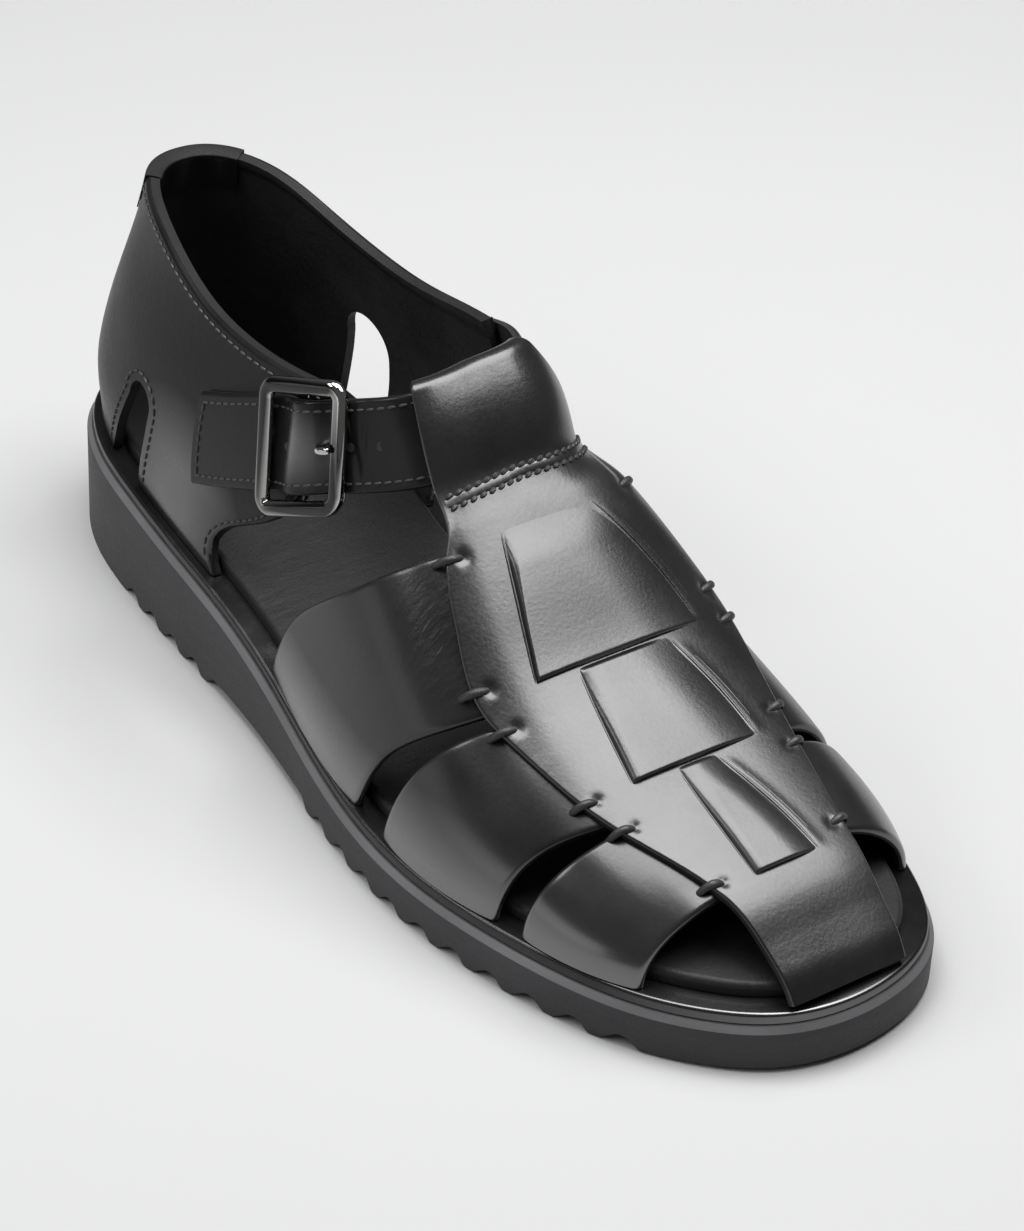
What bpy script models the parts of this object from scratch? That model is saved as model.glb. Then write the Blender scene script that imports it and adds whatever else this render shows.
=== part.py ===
"""Flat fisherman sandal, right shoe: closed heel, buckled ankle strap, T-bar and three woven cross straps.

X runs from the heel to the toe, Y to the inner (medial) side and Z up. The origin is on the floor under the
middle of the shoe. The tables are in millimetres: a station is measured forward from the back of the heel,
a height from the floor, and lateral and medial are the Y of the outer and the inner side.
"""

import math

import bmesh
import bpy
import numpy as np

MM = 0.001
GAP = 0.3

# Sole
LENGTH = 296.0
CHAMFER_WIDTH = 1.3
CHAMFER_HEIGHT = 1.8
TOE_SPRING = 1.5
TOE_SPRING_START = 250.0
TOOTH_PITCH = 11.3
TOOTH_DEPTH = 2.9
TOOTH_TIP_CUT = 0.4
CUTTER_DEPTH = 12.0
CUTTER_REACH = 75.0
HEEL_FIRST_TIP = 53.0
HEEL_TIPS = 5
FOREFOOT_FIRST_TIP = 158.5
FOREFOOT_TIPS = 11
MIDSOLE_INSET = 1.6
MIDSOLE_THICKNESS = 2.6
MIDSOLE_ROUND = 0.8
INSOLE_INSET = 7.8
INSOLE_THICKNESS = 3.4
INSOLE_ROUND = 1.2

# Leather walls
STRAP_THICKNESS = 2.2
WALL_BASE_INSET = 6.2
TBAR_UNDERSIDE = 1.2
TBAR_TOP = 4.5
TBAR_TOE_UNDERSIDE = 0.4
TBAR_TOE_TOP = 2.7
TBAR_TOE_START = 266.0
TBAR_TOE_END = 280.0
PILLOW_RISE = 0.9
PILLOW_STEP = 0.5
QUARTER_THICKNESS = 2.6
QUARTER_AXIS_Y = -3.0
QUARTER_FOOT = 0.3
ARCH_CUTTER_START = 12.0
TAB_THICKNESS = 1.0
TAB_DROP = 10.0
TAB_HALF_GIRTH = 0.1

# Ankle strap and buckle
ANKLE_STRAP_THICKNESS = 2.0
ANKLE_STRAP_WIDTH = 25.0
ARROW_POINT = 0.085
LOOP_CLEARANCE = 0.6
LOOP_WALL = 2.0
LOOP_LATERAL_RUN = 0.915
LOOP_MEDIAL_RUN = 1.105
LOOP_FLARE = 0.6
LOOP_SEAM = 5.0
BUCKLE_RUN = 0.71
BUCKLE_RUN_LENGTH = 185.0
BUCKLE_SQUARE = 0.16
BUCKLE_HALF_LENGTH = 14.3
BUCKLE_HALF_HEIGHT = 16.0
BUCKLE_CORNER = 3.0
BUCKLE_WIRE = 1.5
BAR_WIRE = 1.1
HUMP_HEIGHT = 3.0
HUMP_HALF_LENGTH = 12.5
PRONG_WIRE = 0.8
PRONG_HOLE_AT = 5.4
PRONG_HOLE_RADIUS = 2.1


def columns(names, *rows):
    """A table as one array for each named column."""
    return dict(zip(names, np.array(rows, float).T))


SOLE = columns(
    ("station", "lateral", "medial", "top"),
    (0, -0.5, -0.5, 29.5),
    (10, -25.0, 24.0, 29.5),
    (20, -32.0, 30.5, 29.4),
    (35, -37.6, 34.4, 29.2),
    (55, -40.9, 35.3, 28.6),
    (80, -43.0, 33.0, 26.7),
    (105, -44.2, 28.9, 23.8),
    (130, -46.6, 29.6, 19.5),
    (155, -50.5, 37.6, 15.0),
    (180, -53.6, 47.8, 12.3),
    (205, -53.7, 54.3, 11.8),
    (230, -49.6, 55.4, 12.1),
    (250, -43.6, 52.7, 12.1),
    (268, -35.2, 47.6, 12.2),
    (282, -24.4, 40.2, 12.5),
    (291, -13.0, 29.5, 12.8),
    (LENGTH, 7.5, 7.5, 13.0),
)

# Ridge of the last, under the T-bar, from the instep down to the toe
RIDGE = columns(
    ("station", "height", "across"),
    (120, 112.0, -2.0),
    (140, 101.0, 1.0),
    (158, 88.5, 4.0),
    (172, 79.0, 5.0),
    (188, 67.0, 4.5),
    (204, 55.2, 3.0),
    (220, 47.0, 2.5),
    (234, 41.2, 3.0),
    (250, 36.2, 4.5),
    (266, 31.6, 6.5),
    (276, 27.6, 7.0),
    (283.5, 22.6, 7.0),
    (287.6, 18.9, 7.0),
    (289.3, 16.3, 7.0),
)
SECTION_TOP_POWER = 3.4
SECTION_SIDE_POWER = 2.0

# Edges of the T-bar
TBAR = columns(
    ("station", "lateral", "medial"),
    (164.5, -18.6, 22.0),
    (168, -19.2, 24.0),
    (174, -23.0, 27.0),
    (188, -28.8, 32.0),
    (203, -32.2, 35.5),
    (213, -30.6, 34.6),
    (234, -25.0, 31.0),
    (250, -18.6, 28.0),
    (264, -12.6, 25.4),
    (277, -9.6, 24.4),
    (289.5, -8.5, 23.5),
)

# Where the cross straps come up through the T-bar and lie over it
PILLOWS = columns(
    ("rear", "front", "lateral_rear", "lateral_front", "medial_rear", "medial_front"),
    (174.0, 204.5, -10.8, -19.8, 11.9, 25.0),
    (208.0, 234.0, -9.6, -13.4, 15.1, 21.1),
    (238.5, 266.0, -1.7, -2.3, 8.6, 15.0),
)

# Edges of each cross strap by girth: -1 at the lateral sole, 0 on the ridge, 1 at the medial sole
STRAP_GIRTH = (-1.0, -0.78, -0.6, -0.42, -0.28, 0.0, 0.28, 0.42, 0.6, 0.78, 1.0)
STRAPS = (
    columns(
        ("rear", "front"),
        (129, 178), (139, 186), (154, 197), (167, 204.5), (173.5, 206), (174, 205),
        (169, 204.5), (159, 200), (146, 191), (133, 182), (124, 175),
    ),
    columns(
        ("rear", "front"),
        (189.5, 229), (194.5, 231), (201, 235), (207.5, 239), (209.5, 239), (208, 234),
        (203.5, 234), (200.5, 233), (193.5, 231), (186, 229), (181, 227),
    ),
    columns(
        ("rear", "front"),
        (236, 265), (237.5, 265.5), (239.5, 266), (240.5, 266), (240, 266), (238.5, 266),
        (236.5, 263), (236, 262.5), (235, 263), (233.5, 263.5), (232, 264),
    ),
)

# Rings round the heel and ankle: inner face of the quarter
RINGS = columns(
    ("height", "back", "widest", "front", "lateral", "medial", "back_power", "lateral_power",
     "medial_power"),
    (20, 7.6, 60, 212, -33.8, 28.2, 2.45, 2.4, 2.4),
    (32, 7.4, 60, 204, -34.2, 28.7, 2.45, 2.4, 2.4),
    (50, 8.0, 64, 190, -34.6, 29.4, 2.4, 2.4, 2.5),
    (72, 12.5, 78, 172, -32.4, 26.3, 2.35, 2.4, 3.1),
    (92, 18.5, 90, 157, -28.2, 22.0, 2.3, 2.4, 3.1),
    (112, 24.0, 95, 140, -26.0, 19.5, 2.25, 2.4, 2.6),
)

# Front edges of the quarter by the fraction of its height
QUARTER_FRONT = columns(
    ("fraction", "lateral", "medial"),
    (0.0, 0.462, 0.470),
    (0.1, 0.460, 0.476),
    (0.26, 0.505, 0.52),
    (0.45, 0.60, 0.60),
    (0.7, 0.69, 0.68),
    (1.0, 0.765, 0.74),
)

# Top line of the quarter by girth: negative lateral, 0 at the back, positive medial
TOP_LINE = columns(
    ("girth", "height"),
    (-0.77, 96.5),
    (-0.57, 93.3),
    (-0.43, 94.2),
    (-0.27, 99.5),
    (-0.15, 102.0),
    (0.0, 101.8),
    (0.11, 101.2),
    (0.2, 98.6),
    (0.285, 94.2),
    (0.375, 91.3),
    (0.495, 91.5),
    (0.63, 95.5),
    (0.75, 99.5),
)

# Arched cut-outs of the quarter: bottom and top stations, and the height of the top
ARCHES = columns(
    ("side", "bottom_rear", "bottom_front", "top_rear", "top_front", "height"),
    (-1, 37.0, 54.5, 50.0, 60.5, 62.0),
    (1, 46.0, 68.5, 51.0, 69.5, 65.0),
)

# Edges of the ankle strap; run goes from the heel round the lateral side, is 1 at the front, then medial
ANKLE_STRAP = columns(
    ("run_top", "height_top", "run_bottom", "height_bottom", "lift"),
    (0.468, 75.3, 0.443, 50.0, 2.9),
    (0.535, 80.3, 0.505, 55.0, 2.9),
    (0.605, 85.6, 0.575, 60.8, 2.9),
    (0.690, 90.8, 0.655, 67.0, 2.9),
    (0.770, 94.9, 0.740, 72.9, 2.9),
    (0.845, 98.5, 0.835, 78.8, 2.7),
    (0.920, 101.5, 0.920, 83.6, 3.2),
    (1.000, 103.8, 1.000, 86.3, 0.8),
    (1.085, 103.0, 1.085, 83.8, 3.2),
    (1.150, 101.3, 1.160, 79.5, 2.7),
    (1.225, 99.0, 1.240, 75.0, 2.9),
    (1.300, 95.5, 1.310, 70.5, 2.9),
    (1.385, 91.0, 1.368, 66.0, 2.9),
)


def spline(knots, values, period=None):
    """Natural cubic spline through the values, or a periodic one, as a function of an array."""
    x = np.asarray(knots, float)
    y = np.asarray(values, float)
    if period is not None:
        x = np.append(x, x[0] + period)
        y = np.append(y, y[0])
    step = np.diff(x)
    slope = np.diff(y) / step
    count = len(x)
    matrix = np.zeros((count, count))
    right = np.zeros(count)
    for i in range(1, count - 1):
        matrix[i, i - 1:i + 2] = step[i - 1], 2 * (step[i - 1] + step[i]), step[i]
        right[i] = 6 * (slope[i] - slope[i - 1])
    if period is None:
        matrix[0, 0] = matrix[-1, -1] = 1
    else:
        matrix[0, 0], matrix[0, -1] = 1, -1
        matrix[-1, [0, 1, -2, -1]] = 2 * step[0], step[0], step[-1], 2 * step[-1]
        right[-1] = 6 * (slope[0] - slope[-1])
    bend = np.linalg.solve(matrix, right)

    def evaluate(t):
        t = np.asarray(t, float)
        t = np.clip(t, x[0], x[-1]) if period is None else x[0] + np.mod(t - x[0], period)
        i = np.clip(np.searchsorted(x, t, side="right") - 1, 0, count - 2)
        before = t - x[i]
        after = x[i + 1] - t
        cubic = (bend[i] * after ** 3 + bend[i + 1] * before ** 3) / (6 * step[i])
        first = (y[i] / step[i] - bend[i] * step[i] / 6) * after
        return cubic + first + (y[i + 1] / step[i] - bend[i + 1] * step[i] / 6) * before

    return evaluate


def outline_function():
    """Y of the sole's edge by turn: 0 at the heel, pi at the toe, the lateral side first."""
    turn = np.arccos(1 - 2 * SOLE["station"] / LENGTH)
    turns = np.concatenate([turn, 2 * math.pi - turn[-2:0:-1]])
    across = np.concatenate([SOLE["lateral"], SOLE["medial"][-2:0:-1]])
    return spline(turns, across, period=2 * math.pi)


outline_across = outline_function()
sole_top = spline(SOLE["station"], SOLE["top"])
ridge_height = spline(RIDGE["station"], RIDGE["height"])
ridge_across = spline(RIDGE["station"], RIDGE["across"])


def outline(turn, inset=0.0):
    """Plan points of the sole's edge, moved inwards by the inset."""
    turn = np.asarray(turn, float)
    small = 1e-4
    along = LENGTH * np.sin(turn) / 2
    across = (outline_across(turn + small) - outline_across(turn - small)) / (2 * small)
    size = np.hypot(along, across)
    x = LENGTH * (1 - np.cos(turn)) / 2 - inset * across / size
    y = outline_across(turn) + inset * along / size
    return np.stack([x, y], axis=-1)


FULL_TURN = np.linspace(0, 2 * math.pi, 721)
EDGE_ACROSS = outline(FULL_TURN)[:, 1]
CENTRE = np.array([LENGTH / 2, (EDGE_ACROSS.min() + EDGE_ACROSS.max()) / 2, 0.0])


def edge_across(station, side, inset):
    """Y of the inset sole edge at a station; side is -1 lateral, 1 medial."""
    half = FULL_TURN[:361] if side < 0 else FULL_TURN[360:][::-1]
    points = outline(half, inset)
    return np.interp(station, points[:, 0], points[:, 1])


def ledge(station):
    """Height of the midsole's top face, on which the upper stands."""
    return sole_top(station) + GAP + MIDSOLE_THICKNESS


def sole_bottom(station):
    """Height of the sole's lowest points: flat, rising a little at the toe."""
    rise = np.clip((np.asarray(station) - TOE_SPRING_START) / (LENGTH - TOE_SPRING_START), 0, 1)
    return TOE_SPRING * rise ** 2


def last_points(stations, girths):
    """Points on the last by station and girth; girth is an arc length from the ridge to the sole's edge."""
    angle = np.linspace(0, math.pi / 2, 49)
    out = np.sin(angle) ** (2 / SECTION_TOP_POWER)
    up = np.abs(np.cos(angle)) ** (2 / SECTION_SIDE_POWER)
    result = np.zeros(stations.shape + (3,))
    for index in np.ndindex(stations.shape):
        station, girth = stations[index], girths[index]
        base_y = edge_across(station, -1 if girth < 0 else 1, WALL_BASE_INSET)
        base_z = ledge(station) + GAP
        y = ridge_across(station) + (base_y - ridge_across(station)) * out
        z = base_z + (ridge_height(station) - base_z) * up
        arc = np.concatenate([[0], np.cumsum(np.hypot(np.diff(y), np.diff(z)))])
        reach = abs(girth) * arc[-1]
        result[index] = station, np.interp(reach, arc, y), np.interp(reach, arc, z)
    return result


def section_drop(station, across):
    """How far the last falls below its ridge at a given Y."""
    station = np.minimum(station, TBAR_TOE_START)
    middle = ridge_across(station)
    base_y = np.where(across < middle, edge_across(station, -1, WALL_BASE_INSET),
                      edge_across(station, 1, WALL_BASE_INSET))
    out = np.clip(np.abs((across - middle) / (base_y - middle)), 0, 0.98)
    up = (1 - out ** SECTION_TOP_POWER) ** (1 / SECTION_SIDE_POWER)
    return (ridge_height(station) - ledge(station) - GAP) * (1 - up)


def ankle_points(girths, heights):
    """Points on the rings round the heel by girth: 0 at the back, -1 and 1 at the front."""
    angle = np.linspace(0, math.pi, 121)
    cosine = np.cos(angle)
    sine = np.clip(np.sin(angle), 0, 1)
    result = np.zeros(girths.shape + (3,))
    for index in np.ndindex(girths.shape):
        girth, height = girths[index], heights[index]
        row = {name: ring_columns[name](height) for name in ring_columns}
        side = "lateral" if girth < 0 else "medial"
        half = row[side] - QUARTER_AXIS_Y
        power = 2 / np.where(cosine >= 0, row["back_power"], row[side + "_power"])
        reach = np.where(cosine >= 0, row["back"] - row["widest"], row["front"] - row["widest"])
        x = row["widest"] + reach * np.abs(cosine) ** power
        y = QUARTER_AXIS_Y + half * sine ** power
        arc = np.concatenate([[0], np.cumsum(np.hypot(np.diff(x), np.diff(y)))])
        place = abs(girth) * arc[-1]
        result[index] = np.interp(place, arc, x), np.interp(place, arc, y), height
    return result


ring_columns = {name: spline(RINGS["height"], RINGS[name]) for name in RINGS}


def grid_normals(grid, centre):
    """Unit normals of a grid of points, turned away from a centre point."""
    normal = np.cross(np.gradient(grid, axis=0), np.gradient(grid, axis=1))
    normal /= np.linalg.norm(normal, axis=-1, keepdims=True)
    facing = np.sum(normal * (grid - np.asarray(centre)))
    return normal if facing > 0 else -normal


def body(name, points, faces, material, collection):
    """A mesh object from points in millimetres, its faces turned outwards."""
    mesh = bpy.data.meshes.new(name)
    mesh.from_pydata((np.reshape(points, (-1, 3)) - CENTRE) * MM, [], faces)
    work = bmesh.new()
    work.from_mesh(mesh)
    bmesh.ops.recalc_face_normals(work, faces=work.faces)
    work.to_mesh(mesh)
    work.free()
    mesh.materials.append(material)
    mesh.shade_smooth()
    mesh.set_sharp_from_angle(angle=math.radians(40))
    result = bpy.data.objects.new(name, mesh)
    collection.objects.link(result)
    return result


def quad_grid(rows, count, start=0, closed=False):
    """Quads joining consecutive rows of points."""
    span = range(count if closed else count - 1)
    return [
        (start + i * count + j, start + i * count + (j + 1) % count,
         start + (i + 1) * count + (j + 1) % count, start + (i + 1) * count + j)
        for i in range(rows - 1) for j in span
    ]


def sheet_body(name, inner, outer, material, collection):
    """A wall between two grids of points, closed all round by its cut edges."""
    rows, count = inner.shape[:2]
    half = rows * count
    rim = [i * count for i in range(rows)]
    rim += [(rows - 1) * count + j for j in range(1, count)]
    rim += [i * count + count - 1 for i in range(rows - 2, -1, -1)]
    rim += [j for j in range(count - 2, 0, -1)]
    faces = quad_grid(rows, count) + quad_grid(rows, count, half)
    for here, there in zip(rim, rim[1:] + rim[:1]):
        faces.append((here, there, there + half, here + half))
    points = np.concatenate([inner.reshape(-1, 3), outer.reshape(-1, 3)])
    return body(name, points, faces, material, collection)


def ring_body(name, rings, material, collection):
    """A flat layer from stacked closed rings, its two ends closed by rungs between the two sides."""
    count = rings.shape[1]
    faces = quad_grid(len(rings), count, closed=True)
    for start in (0, (len(rings) - 1) * count):
        for j in range(count // 2):
            rung = (j, j + 1, count - j - 1, (count - j) % count)
            faces.append([start + corner for corner in dict.fromkeys(rung)])
    return body(name, rings, faces, material, collection)


def prism_body(name, section, across, material, collection):
    """A section in station and height carried straight across the shoe between two values of Y."""
    points = [(x, y, z) for y in across for x, z in section]
    count = len(section)
    faces = [tuple(range(count)), tuple(range(2 * count - 1, count - 1, -1))]
    faces += [(i, (i + 1) % count, (i + 1) % count + count, i + count) for i in range(count)]
    return body(name, points, faces, material, collection)


def torus_body(name, rings, material, collection):
    """A body from rings that close on one another."""
    rows, count = rings.shape[:2]
    quads = quad_grid(rows + 1, count, closed=True)
    faces = [tuple(corner % (rows * count) for corner in quad) for quad in quads]
    return body(name, rings, faces, material, collection)


def tube_body(name, path, radius, material, collection, cyclic=False):
    """A wire of round section along a path, as a mesh."""
    curve = bpy.data.curves.new(name + "_path", "CURVE")
    curve.dimensions = "3D"
    curve.bevel_depth = radius * MM
    curve.bevel_resolution = 2
    curve.use_fill_caps = True
    line = curve.splines.new("POLY")
    line.points.add(len(path) - 1)
    line.use_cyclic_u = cyclic
    for point, place in zip(line.points, (path - CENTRE) * MM):
        point.co = (*place, 1)
    guide = bpy.data.objects.new(name + "_path", curve)
    collection.objects.link(guide)
    bpy.context.view_layer.update()
    mesh = bpy.data.meshes.new_from_object(guide.evaluated_get(bpy.context.evaluated_depsgraph_get()))
    mesh.name = name
    bpy.data.objects.remove(guide)
    work = bmesh.new()
    work.from_mesh(mesh)
    bmesh.ops.remove_doubles(work, verts=work.verts, dist=1e-6)
    bmesh.ops.recalc_face_normals(work, faces=work.faces)
    work.to_mesh(mesh)
    work.free()
    mesh.materials.clear()
    mesh.materials.append(material)
    mesh.shade_smooth()
    result = bpy.data.objects.new(name, mesh)
    collection.objects.link(result)
    return result


def combine(target, other, operation):
    """Join another body to the target or cut it away; the other stays as a hidden wire guide."""
    other.hide_render = True
    other.display_type = "WIRE"
    step = target.modifiers.new(other.name, "BOOLEAN")
    step.operation = operation
    step.solver = "EXACT"
    step.object = other


def finish(name, colour, roughness, metallic=0.0):
    """A Principled material."""
    material = bpy.data.materials.new(name)
    material.use_nodes = True
    shader = material.node_tree.nodes["Principled BSDF"]
    shader.inputs["Base Color"].default_value = (*colour, 1)
    shader.inputs["Roughness"].default_value = roughness
    shader.inputs["Metallic"].default_value = metallic
    material.diffuse_color = (*colour, 1)
    return material


def layer_rings(levels, points=96):
    """Closed rings of a sole layer; each level is an inset and a height function of the station."""
    turn = np.arange(points) * 2 * math.pi / points
    rings = []
    for inset, height in levels:
        plan = outline(turn, inset)
        rings.append(np.column_stack([plan, height(plan[:, 0])]))
    return np.array(rings)


def tread_profile():
    """Underside of the tread in station and height: saw teeth at heel and forefoot, the waist between."""
    below = -TOOTH_TIP_CUT
    points = []
    groups = ((HEEL_FIRST_TIP, HEEL_TIPS), (FOREFOOT_FIRST_TIP, FOREFOOT_TIPS))
    shape = ((0.0, below), (0.4, TOOTH_DEPTH), (0.6, 0.93 * TOOTH_DEPTH), (0.86, below))
    for first, tips in groups:
        for tooth in range(tips - 1):
            tip = first + tooth * TOOTH_PITCH
            points += [(tip + part * TOOTH_PITCH, height) for part, height in shape]
        if first == HEEL_FIRST_TIP:
            last_tip = first + (tips - 1) * TOOTH_PITCH
            waist_start = last_tip + 0.4 * TOOTH_PITCH
            waist_end = FOREFOOT_FIRST_TIP - 0.4 * TOOTH_PITCH
            points += [(last_tip, below), (waist_start, TOOTH_DEPTH), (waist_end, TOOTH_DEPTH)]
            points += [(FOREFOOT_FIRST_TIP - 0.14 * TOOTH_PITCH, below)]
    return [(station, height + float(sole_bottom(station))) for station, height in points]


def make_outsole(material, collection, cutters):
    """Rubber outsole: its outline carried from the floor to the curved top, the tread cut across it."""
    levels = (
        (0.8, sole_bottom),
        (0.0, lambda x: sole_bottom(x) + 1.0),
        (0.0, lambda x: sole_top(x) - CHAMFER_HEIGHT),
        (CHAMFER_WIDTH, sole_top),
    )
    outsole = ring_body("outsole", layer_rings(levels), material, collection)
    profile = tread_profile()
    section = [(profile[0][0], -CUTTER_DEPTH)] + profile + [(profile[-1][0], -CUTTER_DEPTH)]
    cutter = prism_body("tread_cutter", section, (-CUTTER_REACH, CUTTER_REACH), material, cutters)
    combine(outsole, cutter, "DIFFERENCE")


def make_midsole(material, collection):
    """Thin runner on the outsole, its upper edge rounded."""
    levels = (
        (MIDSOLE_INSET, lambda x: sole_top(x) + GAP),
        (MIDSOLE_INSET, lambda x: ledge(x) - MIDSOLE_ROUND),
        (MIDSOLE_INSET + 0.3 * MIDSOLE_ROUND, lambda x: ledge(x) - 0.3 * MIDSOLE_ROUND),
        (MIDSOLE_INSET + MIDSOLE_ROUND, ledge),
    )
    ring_body("midsole", layer_rings(levels), material, collection)


def make_insole(material, collection):
    """Insole inside the straps, its upper edge rounded."""
    top = lambda x: ledge(x) + GAP + INSOLE_THICKNESS
    levels = (
        (INSOLE_INSET, lambda x: ledge(x) + GAP),
        (INSOLE_INSET, lambda x: top(x) - INSOLE_ROUND),
        (INSOLE_INSET + 0.3 * INSOLE_ROUND, lambda x: top(x) - 0.3 * INSOLE_ROUND),
        (INSOLE_INSET + INSOLE_ROUND, top),
    )
    ring_body("insole", layer_rings(levels), material, collection)


def strap_wall(name, edges, material, cutters):
    """A cross strap over the last, from the lateral sole to the medial sole."""
    girth = np.linspace(-1, 1, 29)
    rear = spline(STRAP_GIRTH, edges["rear"])(girth)
    front = spline(STRAP_GIRTH, edges["front"])(girth)
    share = np.linspace(0, 1, 6)[:, None]
    stations = rear + (front - rear) * share
    inner = last_points(stations, np.broadcast_to(girth, stations.shape))
    normal = grid_normals(inner, (np.mean(stations), 0, 0))
    return sheet_body(name, inner, inner + STRAP_THICKNESS * normal, material, cutters)


def tbar_path(count_each):
    """Stations along the T-bar, close together at the ends of the pillows and at the toe."""
    marks = [TBAR["station"][0]]
    for rear, front in zip(PILLOWS["rear"], PILLOWS["front"]):
        marks += [rear - PILLOW_STEP, rear + PILLOW_STEP, front - PILLOW_STEP, front + PILLOW_STEP]
    marks += [TBAR_TOE_END, RIDGE["station"][-1]]
    stations = [marks[0]]
    for start, end in zip(marks, marks[1:]):
        pieces = 1 if end - start < 4 else count_each
        stations += [start + (end - start) * k / pieces for k in range(1, pieces + 1)]
    return np.array(stations)


def tbar_across(stations):
    """Y of the lines along the T-bar: its edges, the slits beside the pillows, and the middle."""
    edge_lateral = spline(TBAR["station"], TBAR["lateral"])(stations)
    edge_medial = spline(TBAR["station"], TBAR["medial"])(stations)
    marks = np.stack([PILLOWS["rear"], PILLOWS["front"]], axis=1)
    slit_lateral = np.stack([PILLOWS["lateral_rear"], PILLOWS["lateral_front"]], axis=1)
    slit_medial = np.stack([PILLOWS["medial_rear"], PILLOWS["medial_front"]], axis=1)
    low = np.interp(stations, marks.ravel(), slit_lateral.ravel())
    high = np.interp(stations, marks.ravel(), slit_medial.ravel())
    lines = [edge_lateral, (edge_lateral + low) / 2, low - PILLOW_STEP, low + PILLOW_STEP]
    lines += [low + (high - low) * part for part in (0.3, 0.7)]
    lines += [high - PILLOW_STEP, high + PILLOW_STEP, (edge_medial + high) / 2, edge_medial]
    return np.stack(lines, axis=1)


def tbar_wall(material, collection):
    """T-bar from the loop's seam to the toe, with raised pillows where the straps lie over it."""
    stations = tbar_path(4)
    across = tbar_across(stations)
    height = ridge_height(stations)
    slope = np.gradient(height, stations)
    size = np.hypot(1, slope)
    lean = np.stack([-slope / size, np.zeros_like(size), 1 / size], axis=1)[:, None, :]
    drop = section_drop(stations[:, None], across) / size[:, None]
    spine = np.stack([stations, np.zeros_like(stations), height], axis=1)[:, None, :]
    grid = spine + across[..., None] * np.array([0, 1, 0]) - drop[..., None] * lean
    normal = grid_normals(grid, (200, 0, 0))
    toe = np.clip((stations - TBAR_TOE_START) / (TBAR_TOE_END - TBAR_TOE_START), 0, 1)[:, None]
    under = TBAR_UNDERSIDE + (TBAR_TOE_UNDERSIDE - TBAR_UNDERSIDE) * toe
    top = TBAR_TOP + (TBAR_TOE_TOP - TBAR_TOP) * toe + np.zeros(across.shape)
    for rear, front in zip(PILLOWS["rear"], PILLOWS["front"]):
        inside = (stations > rear) & (stations < front)
        top[np.ix_(inside, range(3, 7))] += PILLOW_RISE
    return sheet_body("upper_vamp", grid + under[..., None] * normal, grid + top[..., None] * normal,
                      material, collection)


def strap_surface(runs, shares, hump=False):
    """Inner face of the ankle strap and its normals; share is 0 at the upper edge, 1 at the lower."""
    middle = (ANKLE_STRAP["run_top"] + ANKLE_STRAP["run_bottom"]) / 2
    edge = {name: spline(middle, ANKLE_STRAP[name])(runs) for name in ANKLE_STRAP}
    run = edge["run_top"] + (edge["run_bottom"] - edge["run_top"]) * shares
    height = edge["height_top"] + (edge["height_bottom"] - edge["height_top"]) * shares
    lift = edge["lift"] + np.zeros_like(shares)
    if hump:
        away = np.clip(np.abs(runs - BUCKLE_RUN) * BUCKLE_RUN_LENGTH / HUMP_HALF_LENGTH, 0, 1)
        lift = lift + HUMP_HEIGHT * np.cos(away * math.pi / 2) ** 2
    point = np.clip((runs - middle[-2]) / (middle[-1] - middle[-2]), 0, 1)
    run = run + ARROW_POINT * point * (1 - np.abs(2 * shares - 1))
    small = 1e-3
    grids = [ankle_points(*ring_place(run + dr, height + dz)) for dr, dz in ((0, 0), (small, 0), (0, 1.0))]
    normal = np.cross(grids[1] - grids[0], grids[2] - grids[0])
    normal /= np.linalg.norm(normal, axis=-1, keepdims=True)
    return grids[0] + lift[..., None] * normal, normal


def ring_place(run, height):
    """Girth and height on the ankle rings for a run along the strap."""
    return np.where(run <= 1, -run, 2 - run), height


def make_ankle_strap(material, collection, cutters):
    """Ankle strap with its square free end, its hump over the buckle's bar and its pointed medial end."""
    middle = (ANKLE_STRAP["run_top"] + ANKLE_STRAP["run_bottom"]) / 2
    runs, shares = np.meshgrid(np.linspace(middle[0], middle[-1], 61), np.linspace(0, 1, 5), indexing="ij")
    inner, normal = strap_surface(runs, shares, hump=True)
    strap = sheet_body("ankle_strap", inner, inner + ANKLE_STRAP_THICKNESS * normal, material, collection)
    seat, out = strap_surface(*buckle_place(np.array([PRONG_HOLE_AT]), np.array([0.0])))
    path = np.array([seat[0] - 4 * out[0], seat[0] + 9 * out[0]])
    combine(strap, tube_body("prong_hole", path, PRONG_HOLE_RADIUS, material, cutters), "DIFFERENCE")


def buckle_place(along, across):
    """Run and share for a place on the buckle, in millimetres from its middle, forward and upward.

    The rings narrow upwards, so the way forward grows with the height to keep the frame square.
    """
    up = across / ANKLE_STRAP_WIDTH
    return BUCKLE_RUN + along * (1 + BUCKLE_SQUARE * up) / BUCKLE_RUN_LENGTH, 0.5 - up


def buckle_path(along, across, offset):
    """Points over the strap at the buckle."""
    seat, normal = strap_surface(*buckle_place(np.asarray(along, float), np.asarray(across, float)))
    return seat + np.asarray(offset, float)[..., None] * normal


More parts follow.
